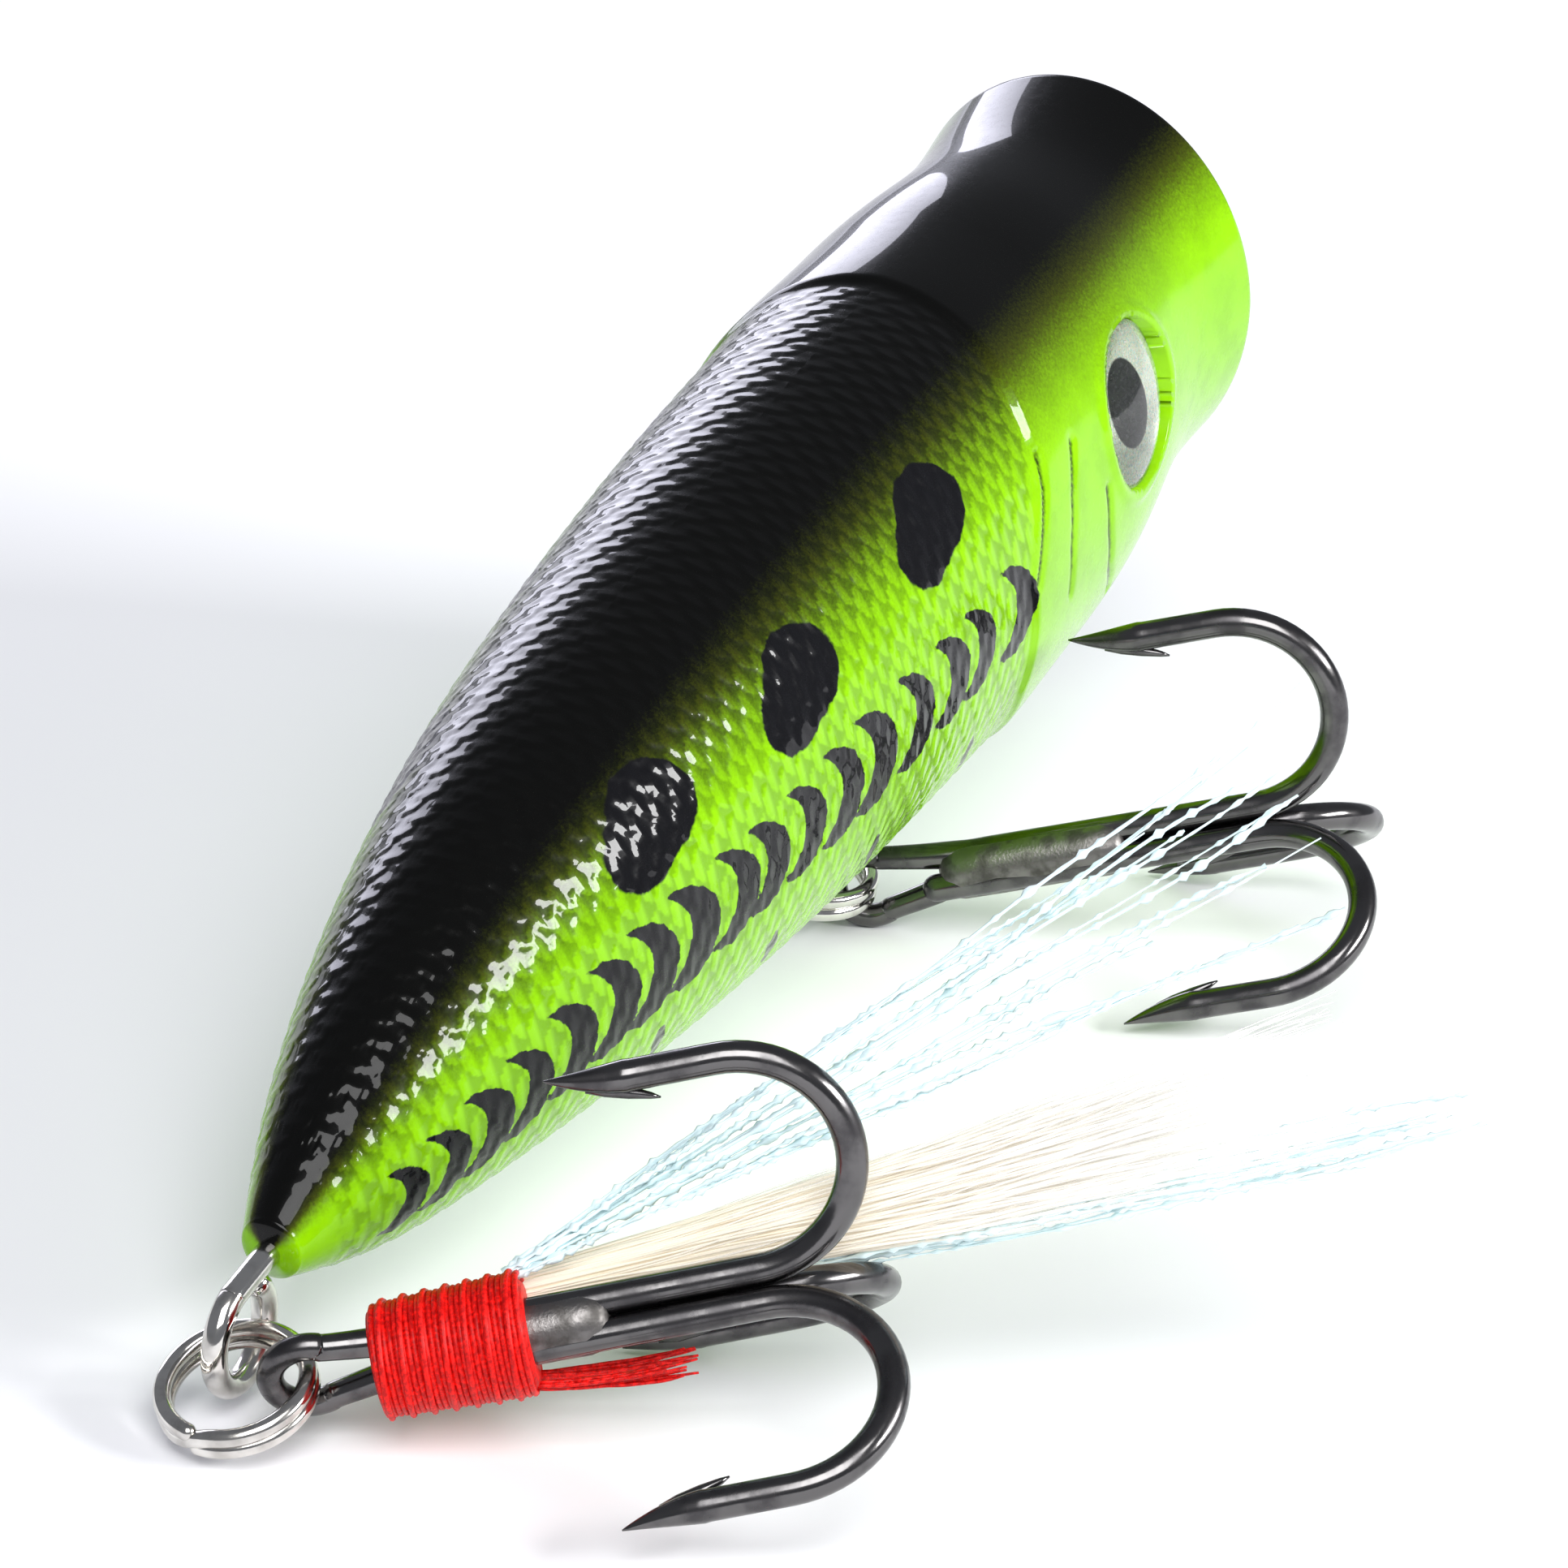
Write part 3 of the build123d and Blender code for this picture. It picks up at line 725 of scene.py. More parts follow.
def blotches(x, v, body):
    """Signed distance to the three kidney-shaped shoulder blotches."""
    unit = body.length / MARKED_LENGTH
    field = np.full(x.shape, 1.0 * MM)
    for k, (place, angle) in enumerate(BLOTCH_PLACES):
        up = arc_height(place * unit, angle, body)
        p, q = x - place * unit, v - up
        wobble = 0.05 * MM * np.sin(p / MM * 5.0 + k) * np.sin(q / MM * 4.4 + 2 * k)
        large = np.hypot((p - 0.45 * MM) / 1.2, q - 0.32 * MM) - 1.58 * MM
        small = np.hypot((p + 1.05 * MM) / 1.2, q + 0.55 * MM) - 1.22 * MM
        blend = np.clip(0.5 + 0.5 * (small - large) / (0.7 * MM), 0, 1)
        joined_up = small + (large - small) * blend - 0.7 * MM * blend * (1 - blend)
        field = np.minimum(field, joined_up + wobble)
    return field


# Lines of the gill plate: millimetres from the tail end, degrees around the section.
GILL_LINES = (
    ((42.9, 30.0), (42.5, 22.0), (41.7, 13.0), (40.9, 4.0)),
    ((45.3, 25.0), (44.4, 14.0), (43.9, 3.0), (43.8, -8.0)),
    ((47.2, 7.0), (47.3, -4.0), (47.9, -16.0), (49.2, -29.0)),
)


# Edge of the gill plate: degrees around the section, and millimetres from the tail end at each.
GILL_EDGE = ((-90.0, -55.0, -25.0, 5.0, 30.0, 60.0, 90.0), (44.0, 42.6, 40.9, 40.6, 42.7, 43.8, 44.2))


def gill_edge(turn, unit):
    """Where the scales stop and the smooth gill plate starts, around the section."""
    return np.interp(turn, np.radians(GILL_EDGE[0]), np.array(GILL_EDGE[1]) * unit)


def eye_axes(side, body, eye):
    """Centre, upward, forward and outward directions of one eye socket in the level body."""
    height, width, centre = (float(v[0]) for v in sections(np.array([eye.along]), body))
    out = np.array((sin(eye.toe), side * cos(eye.toe) * cos(eye.tip), cos(eye.toe) * sin(eye.tip)))
    origin = np.array((eye.along, side * width * sqrt(1 - (eye.rise / height)**2), centre + eye.rise))
    up = np.array((0.0, 0.0, 1.0)) - out * out[2]
    up /= np.linalg.norm(up)
    return origin, up, np.cross(out, up) * side, out


def sink_socket(place, side, body, eye):
    """The skin with the eye's recess pressed in behind a low lip, and which points are down in it."""
    socket, up, ahead, out = eye_axes(side, body, eye)
    offset = place - socket
    far = np.stack([offset @ ahead, offset @ up, offset @ out], axis=2)
    ring = np.hypot(far[:, :, 0], far[:, :, 1])
    near_eye = far[:, :, 2] > -4 * MM
    snap = near_eye & (np.abs(ring - eye.radius) < 0.10 * MM)
    far[:, :, :2] *= np.where(snap, eye.radius / np.maximum(ring, 1e-9), 1.0)[:, :, None]
    ring = np.hypot(far[:, :, 0], far[:, :, 1])
    sunk = near_eye & (ring < eye.radius * 0.999)
    lip = 0.10 * MM * np.exp(-((ring - eye.radius - 0.28 * MM) / (0.22 * MM))**2)
    far[:, :, 2] += np.where(near_eye & ~sunk, lip, 0)
    far[:, :, 2] = np.where(sunk, -eye.depth, far[:, :, 2])
    edge = sunk & (ring > eye.radius - 0.16 * MM)
    far[:, :, :2] *= np.where(edge, (eye.radius - 0.01 * MM) / np.maximum(ring, 1e-9), 1.0)[:, :, None]
    moved = socket + far[:, :, :1] * ahead + far[:, :, 1:2] * up + far[:, :, 2:3] * out
    return np.where((near_eye & (ring < eye.radius + 1.2 * MM))[:, :, None], moved, place), sunk


def cup_bowl(turn, side, height, width, body):
    """Rows of points from the inner rim down to the bottom of the mouth."""
    start = np.arctan(np.clip(height * np.sin(turn) * tan(FACE_LEAN) / body.cup_depth, 0, None))
    rows = []
    for share in np.linspace(0, 1, CUP_ROWS)[:-1]:
        tau = start + (pi / 2 - start) * share
        back = -body.cup_depth * np.sin(tau)
        out = width * np.cos(turn) * np.cos(tau)
        rise = height * np.sin(turn) * np.cos(tau)
        x = body.length + back * cos(FACE_LEAN) + rise * sin(FACE_LEAN)
        rows.append(np.stack([x, side * out, rise * cos(FACE_LEAN) - back * sin(FACE_LEAN)], 1))
    return np.array(rows)


def rim_rows(outer, inner):
    """Rounded rows between the outer skin's last row and the cup's first."""
    rows = []
    for share in np.linspace(0, 1, 8)[1:-1]:
        line = outer + (inner - outer) * share
        line[:, 0] += 0.16 * MM * sqrt(max(0.0, 1 - (2 * share - 1)**2))
        rows.append(line)
    return np.array(rows)


def tail_rows(first, centre):
    """Rounded rows that close the tail end."""
    rows = []
    middle = np.array((0, centre))
    for share in (0.25, 0.55, 0.8, 0.95):
        line = first.copy()
        line[:, 1:] = middle + (line[:, 1:] - middle) * sin(share * pi / 2)
        line[:, 0] -= 0.25 * MM * cos(share * pi / 2)
        rows.append(line)
    return np.array(rows)


def skin_half(name, side, node):
    """One half of the skin: moulded scales, gill plate, eye socket, lip and cup, closed by a flat middle."""
    scene = bpy.context.scene
    body, eye = scene.popper_body, scene.popper_eye
    unit = body.length / MARKED_LENGTH
    wide = body.columns + 1
    along = np.linspace(0, body.length, body.rows)
    turn_line = np.linspace(-pi / 2, pi / 2, wide)
    turn = np.broadcast_to(turn_line, (body.rows, wide))
    height, width, centre = (v[:, None] for v in sections(along, body))
    x = np.broadcast_to(along[:, None], turn.shape).copy()
    z = centre + height * np.sin(turn)
    v = wrapped(turn, height, width)
    low_lip = np.minimum(z, 0) * tan(FACE_LEAN) * smooth_step(x, 50 * unit, body.length)**2
    place = np.stack([x + low_lip, side * width * np.cos(turn), z], axis=2)
    normal = np.cross(np.gradient(place, axis=1), np.gradient(place, axis=0)) * side
    normal /= np.linalg.norm(normal, axis=2)[:, :, None] + 1e-12
    normal[:, (0, -1), 1] = 0.0

    edge = gill_edge(turn, unit)
    scaled = (1 - smooth_step(x, edge - 0.5 * MM, edge)) * smooth_step(x, 0.4 * MM, 2.2 * MM)
    relief = scale_relief(x, v, body.scale_pitch) * scaled + (1 - scaled) * 0.75
    lines = np.full(x.shape, 1.0)
    for line in GILL_LINES:
        flat = [(px * unit, arc_height(px * unit, angle, body)) for px, angle in line]
        lines = np.minimum(lines, distance_to(flat, x, v))
    groove = np.exp(-(lines / (0.17 * MM))**2)
    plate = smooth_step(x, edge - 0.15 * MM, edge + 0.25 * MM) * (1 - smooth_step(x, edge, edge + 5.5 * MM))
    raised = body.scale_height * (relief - 1.0) - 0.13 * MM * groove + 0.15 * MM * plate
    place, sunk = sink_socket(place + normal * raised[:, :, None], side, body, eye)
    place[:, (0, -1), 1] = 0.0

    bowl = cup_bowl(turn_line, side, float(height[-1, 0]) - body.lip, float(width[-1, 0]) - body.lip, body)
    rim = rim_rows(place[-1], bowl[0])
    middle = float(centre[0, 0])
    tail = tail_rows(place[0], middle)
    sheet = np.concatenate([tail, place, rim, bowl], axis=0)
    sheet[:, (0, -1), 1] = 0.0
    first = len(sheet) * wide
    last = first + 1
    tail_pole = (-0.25 * MM, 0, middle)
    cup_pole = (body.length - body.cup_depth * cos(FACE_LEAN), 0, body.cup_depth * sin(FACE_LEAN))
    vertices = np.vstack([sheet.reshape(-1, 3), tail_pole, cup_pole])
    index = np.arange(first).reshape(len(sheet), wide)
    quads = np.stack([index[:-1, :-1], index[:-1, 1:], index[1:, 1:], index[1:, :-1]], axis=2).reshape(-1, 4)
    faces = [tuple(quad) for quad in quads]
    faces += [(first, index[0, j + 1], index[0, j]) for j in range(body.columns)]
    faces += [(last, index[-1, j], index[-1, j + 1]) for j in range(body.columns)]
    faces.append((first, *index[:, 0], last, *index[::-1, -1]))
    piece = make_object(name, at_rest(vertices, body), faces if side > 0 else flipped(faces))
    on_seam = np.abs(vertices[:, 1]) < 1e-9
    ends = np.empty(2 * len(piece.data.edges), np.int32)
    piece.data.edges.foreach_get("vertices", ends)
    sharp = piece.data.attributes.new("sharp_edge", "BOOLEAN", "EDGE")
    sharp.data.foreach_set("value", on_seam[ends.reshape(-1, 2)].all(axis=1))

    def carried(field, beyond, poles):
        """A field of the outer skin, carried on over the tail end, the lip and the cup."""
        rows = [field[:1]] * len(tail) + [field] + [beyond] * (len(rim) + len(bowl))
        return np.concatenate([np.concatenate(rows, axis=0).reshape(-1), poles])

    around = turn / (pi / 2)
    give_float(piece.data, "around", carried(around, around[-1:], (0.0, 0.0)))
    for label, field, beyond in (
        ("relief", np.where(sunk, 0.75, relief), 0.75),
        ("marks", crescents(x, v, body) / MM, 1.0),
        ("blotches", blotches(x, v, body) / MM, 1.0),
        ("gills", np.minimum(lines / MM, 1.0), 1.0),
    ):
        give_float(piece.data, label, carried(field, np.full((1, wide), beyond), (beyond, beyond)))
    in_cup = np.zeros(len(vertices))
    in_cup[(len(tail) + body.rows + 3) * wide:] = 1.0
    in_cup[first] = 0.0
    give_float(piece.data, "cup", in_cup)
    finish_piece(piece, "lure_body", "painted_body", "airbrushed_paint", node)


def eye_pieces(name, side, disc_node, lens_node):
    """A printed foil disc under a clear dome."""
    scene = bpy.context.scene
    body, eye = scene.popper_body, scene.popper_eye
    socket, up, ahead, out = eye_axes(side, body, eye)
    mirrored = float(np.dot(np.cross(ahead, up), out)) < 0
    radius = eye.radius - 0.06 * MM
    back = -eye.depth + 0.02 * MM
    front = back + 0.4 * MM

    def build(label, points, faces, slot, look, node):
        points = np.asarray(points)
        level = socket + points[:, :1] * out + points[:, 1:2] * ahead + points[:, 2:3] * up
        piece = make_object(f"{name}_{label}", at_rest(level, body), flipped(faces) if mirrored else faces)
        finish_piece(piece, "lure_body", slot, look, node)
        return piece

    rings, sides = 40, 96
    turn = np.arange(sides) * 2 * pi / sides
    points, print_fields = [(front, 0, 0)], [(0, 0, 0)]
    for k in range(1, rings + 1):
        r = radius * k / rings
        for a in turn:
            points.append((front, r * cos(a), r * sin(a)))
            oval = np.hypot((r * cos(a) - 0.10 * MM) / (1.02 * MM), (r * sin(a) + 0.02 * MM) / (1.38 * MM))
            print_fields.append((oval, a / pi, k / rings))
    base = len(points)
    points += [(back, radius * cos(a), radius * sin(a)) for a in turn] + [(back, 0, 0)]
    print_fields += [(2, 0, 1)] * (sides + 1)
    faces = fan(0, 1, sides) + flipped(ring_quads(1, rings + 1, sides) + fan(base + sides, base, sides))
    disc = build("foil", points, faces, "eye_foil", "iris_foil", disc_node)
    for column, label in enumerate(("pupil", "turn", "out")):
        give_float(disc.data, label, np.array(print_fields)[:, column])

    crown, edge_height = 0.75 * MM, 1.02 * MM
    ball = (radius**2 + crown**2) / (2 * crown)
    low = back + 0.30 * MM
    profile = [(low, 0), (low, radius * 0.6), (low, radius - 0.08 * MM), (low + 0.06 * MM, radius)]
    profile += [(low + edge_height * 0.5, radius), (low + edge_height - 0.05 * MM, radius)]
    for share in np.linspace(0.985, 0.0, 26):
        r = radius * share
        profile.append((low + edge_height + crown - ball + sqrt(ball**2 - r**2), r))
    build("lens", *lathe(profile, sides), "eye_lens", "clear_resin", lens_node)


# ---------------------------------------------------------------- wire pieces
def hanger(name, node, centre, bends):
    """A bent wire eye; its path is given as (along, up) from a centre."""
    radius = bpy.context.scene.popper_hardware.hanger_wire / 2
    path = through([along * AHEAD + up * UP for along, up in bends], 8) + centre
    piece = make_object(name, *tube(*round_ends(path, radius), 20))
    finish_piece(piece, "lure_body", "hanger_wire", "bright_nickel", node)


def loop_path(radius, start, end, count=22):
    """Points round a circle from one angle to another, as (along, up)."""
    return [(radius * cos(a), radius * sin(a)) for a in np.radians(np.linspace(start, end, count))]


def hook_frame(name):
    """Origin and axes of a hook: x along the shank, y its hinge."""
    hardware = bpy.context.scene.popper_hardware
    rise = hardware.belly_rise if name == "belly" else hardware.tail_rise
    joint = JOINTS[f"{name}_hook_swing"]
    axis = np.array(joint["axis"], float)
    axis /= np.linalg.norm(axis)
    steepest = np.array((0.0, 0.0, 1.0)) - axis * axis[2]
    steepest /= np.linalg.norm(steepest)
    level = np.cross(axis, steepest)
    shank = level * cos(rise) + steepest * sin(rise)
    return np.array(joint["pos_m"], float), shank, axis, np.cross(shank, axis)


def in_hook(name, points):
    origin, shank, axis, third = hook_frame(name)
    points = np.atleast_2d(points)
    return origin + points[:, :1] * shank + points[:, 1:2] * axis + points[:, 2:3] * third


def prong_line(roll, start):
    """Middle line and radii of one prong in the hook's own axes, from the shank to the tip."""
    hardware = bpy.context.scene.popper_hardware
    r = hardware.hook_wire / 2
    top = hardware.offset + 2 * hardware.bend
    flat = [(u, hardware.offset, r) for u in np.linspace(start, hardware.shank, 12)[:-1]]
    for a in np.linspace(0, pi, 34):
        rise = hardware.offset + hardware.bend * (1 - cos(a))
        flat.append((hardware.shank + hardware.bend * sin(a), rise, r))
    flat += [(u, top, r) for u in np.linspace(hardware.shank, THROAT, 5)[1:]]
    for t in np.linspace(0, 1, 16)[1:]:
        size = r * (1 - t**1.5) + 0.025 * MM
        flat.append((THROAT + (hardware.point - THROAT) * t, top + 0.3 * MM * t * t, size))
    flat = np.array(flat)
    out = np.array((0.0, cos(roll), sin(roll)))
    line = flat[:, :1] * np.array((1.0, 0, 0)) + flat[:, 1:2] * out
    return line, flat[:, 2]


# The barb: millimetres from the hook's eye and from the prong, and its radius there.
BARB = ((9.55, -0.16, 0.14), (10.1, -0.30, 0.22), (10.75, -0.52, 0.19), (11.35, -0.74, 0.10),
        (11.6, -0.84, 0.03))
# The braze collar: millimetres from the hook's eye, and its radius there.
BRAZE = ((2.45, 0), (2.5, 0.55), (2.7, 0.85), (3.2, 0.98), (4.4, 0.96), (5.8, 0.99), (7.2, 0.97),
         (8.1, 0.98), (8.55, 0.88), (8.8, 0.62), (8.86, 0))


def barb(roll):
    """The cut barb behind a point."""
    hardware = bpy.context.scene.popper_hardware
    top = hardware.offset + 2 * hardware.bend
    out = np.array((0.0, cos(roll), sin(roll)))
    line = np.array([(u * MM, 0, 0) + out * (top + o * MM) for u, o, _ in BARB])
    return tube(line, np.array([radius for _, _, radius in BARB]) * MM, 10)


def treble(name, first_roll):
    """A double hook of one bent wire, a single laid beside it and the braze between."""
    hardware = bpy.context.scene.popper_hardware
    rolls = (first_roll, first_roll - radians(120.0), first_roll + radians(120.0))
    upper, lower = sorted(rolls[:2], key=lambda roll: -sin(roll))
    high_line, high_radius = prong_line(upper, 3.5 * MM)
    low_line, low_radius = prong_line(lower, 3.5 * MM)
    angles = np.radians(np.linspace(58, 302, 25))
    eye_arc = [(hardware.eye * cos(a), 0, hardware.eye * sin(a)) for a in angles]
    high_neck = (2.15 * MM, 0.3 * high_line[0][1], 0.62 * MM + 0.2 * high_line[0][2])
    low_neck = (2.15 * MM, 0.3 * low_line[0][1], -0.62 * MM + 0.2 * low_line[0][2])
    neck = through([high_line[1], high_line[0], high_neck, *eye_arc, low_neck, low_line[0], low_line[1]], 4)
    away = np.hypot(neck[:, 0], neck[:, 2])
    neck_radius = np.interp(away, (1.2 * MM, 3.0 * MM), (0.4 * MM, hardware.hook_wire / 2))
    line = np.vstack([high_line[:1:-1], neck, low_line[2:]])
    radii = np.concatenate([high_radius[:1:-1], neck_radius, low_radius[2:]])

    def build(label, vertices, faces, slot, look, node):
        piece = make_object(f"{name}_{label}", in_hook(name, vertices), faces)
        finish_piece(piece, f"{name}_hook", slot, look, f"{name}_{node}")

    prongs = joined([tube(line, radii, 20), barb(upper), barb(lower)])
    build("double", *prongs, "hook_steel", "black_nickel", "double_hook")
    line, radii = prong_line(rolls[2], 2.3 * MM)
    start_line, start_radii = round_ends(line[:2], radii[:2])
    half = len(start_line) // 2
    line = np.vstack([start_line[:half], line[1:]])
    radii = np.concatenate([start_radii[:half], radii[1:]])
    prong = joined([tube(line, radii, 20), barb(rolls[2])])
    build("single", *prong, "hook_steel", "black_nickel", "single_hook")
    vertices, faces = lathe(np.array(BRAZE) * MM, 48)
    turn = np.arctan2(vertices[:, 2], vertices[:, 1])
    ripple = 1 + 0.025 * np.sin(vertices[:, 0] / MM * 3.1) * np.cos(3 * turn)
    vertices[:, 1:] *= ripple[:, None]
    build("braze", vertices, faces, "braze_metal", "braze_collar", "hook_braze")


def split_ring(name):
    """Two turns of spring wire with their free ends showing."""
    hardware = bpy.context.scene.popper_hardware
    swing, hinge = JOINTS[f"{name}_ring_swing"], JOINTS[f"{name}_hook_swing"]
    axis = np.array(swing["axis"], float)
    normal = np.cross(axis, np.array(hinge["axis"], float))
    normal *= np.sign(normal[2]) / np.linalg.norm(normal)
    toward = np.cross(axis, normal)
    toward /= np.linalg.norm(toward)
    centre = np.array(swing["pos_m"], float) - toward * hardware.ring
    side = np.cross(normal, toward)
    turn = np.radians(np.linspace(150.0, 150.0 + 712.0, 190))
    step = 0.235 * MM * (2 * smooth_step(turn, radians(150.0 + 335.0), radians(150.0 + 377.0)) - 1)
    line = (centre + hardware.ring * (np.cos(turn)[:, None] * toward + np.sin(turn)[:, None] * side)
            + step[:, None] * normal)
    radius = np.full(len(turn), hardware.ring_wire / 2 * 0.985)
    piece = make_object(f"{name}_ring_coil", *tube(*round_ends(line, radius), 18))
    finish_piece(piece, f"{name}_ring", "spring_steel", "bright_nickel", f"{name}_split_ring")


# ---------------------------------------------------------------- geometry-node pieces
def node_tree(name, inputs):
    """A geometry node group with number inputs and a material."""
    tree = bpy.data.node_groups.new(name, "GeometryNodeTree")
    tree.interface.new_socket("Geometry", in_out="OUTPUT", socket_type="NodeSocketGeometry")
    for label, value in inputs.items():
        kind = "NodeSocketInt" if isinstance(value, int) else "NodeSocketFloat"
        tree.interface.new_socket(label, in_out="INPUT", socket_type=kind).default_value = value
    tree.interface.new_socket("Material", in_out="INPUT", socket_type="NodeSocketMaterial")
    nodes = Nodes(tree)
    return tree, nodes, nodes.add("NodeGroupInput").outputs


def close_tree(nodes, geometry, material):
    real = nodes.add("GeometryNodeRealizeInstances", {"Geometry": geometry})
    final = nodes.add("GeometryNodeSetMaterial", {"Geometry": real.outputs[0], "Material": material})
    nodes.add("NodeGroupOutput", {0: final.outputs[0]})


def grown(name, tree, settings):
    """Runs a node tree with its inputs set and keeps the result as a plain mesh."""
    carrier = make_object(name + "_seed", [(0, 0, 0)], [])
    modifier = carrier.modifiers.new("build", "NODES")
    modifier.node_group = tree
    for item in tree.interface.items_tree:
        if item.item_type == "SOCKET" and item.in_out == "INPUT" and item.name in settings:
            modifier[item.identifier] = settings[item.name]
    carrier.update_tag()
    graph = bpy.context.evaluated_depsgraph_get()
    mesh = bpy.data.meshes.new_from_object(carrier.evaluated_get(graph), depsgraph=graph)
    carrier.modifiers.remove(modifier)
    bpy.data.objects.remove(carrier)
    if not len(mesh.vertices):
        raise RuntimeError(name + " came out empty")
    mesh.name = name
    mesh.polygons.foreach_set("use_smooth", [True] * len(mesh.polygons))
    piece = bpy.data.objects.new(name, mesh)
    bpy.context.scene.collection.objects.link(piece)
    return piece


def move_into_hook(piece, hook, roll=None):
    """Points drawn along x and z to the hook's axes, with z turned to a roll."""
    mesh = piece.data
    count = len(mesh.vertices)
    points = np.empty(count * 3)
    mesh.vertices.foreach_get("co", points)
    points = points.reshape(-1, 3)
    if roll is not None:
        out = np.array((0.0, cos(roll), sin(roll)))
        side = np.cross(out, (1.0, 0.0, 0.0))
        points = points[:, :1] * (1.0, 0, 0) + points[:, 1:2] * side + points[:, 2:3] * out
    mesh.vertices.foreach_set("co", in_hook(hook, points).reshape(-1))
    mesh.update()


def winding_tree():
    """One spiral layer of thread about x."""
    tree, nodes, entry = node_tree("thread_winding", {
        "Turns": 20.0, "Start radius": 0.001, "End radius": 0.001, "Start": 0.0, "Length": 0.004,
        "Thread radius": 0.0001})
    spiral = nodes.add("GeometryNodeCurveSpiral", {
        "Resolution": 44, "Rotations": entry["Turns"], "Start Radius": entry["Start radius"],
        "End Radius": entry["End radius"], "Height": entry["Length"]})
    factor = nodes.add("GeometryNodeSplineParameter").outputs["Factor"]
    kept = nodes.store(spiral.outputs[0], "along", nodes.times(factor, entry["Turns"]))
    ring = nodes.add("GeometryNodeCurvePrimitiveCircle", {"Resolution": 8, "Radius": entry["Thread radius"]})
    mesh = nodes.add("GeometryNodeCurveToMesh", {"Curve": kept, "Profile Curve": ring.outputs[0],
                                                 "Fill Caps": True})
    turned = nodes.add("GeometryNodeTransform", {
        "Geometry": mesh.outputs[0], "Translation": nodes.point(entry["Start"]),
        "Rotation": (0.0, pi / 2, 0.0)})
    close_tree(nodes, turned.outputs[0], entry["Material"])
    return tree


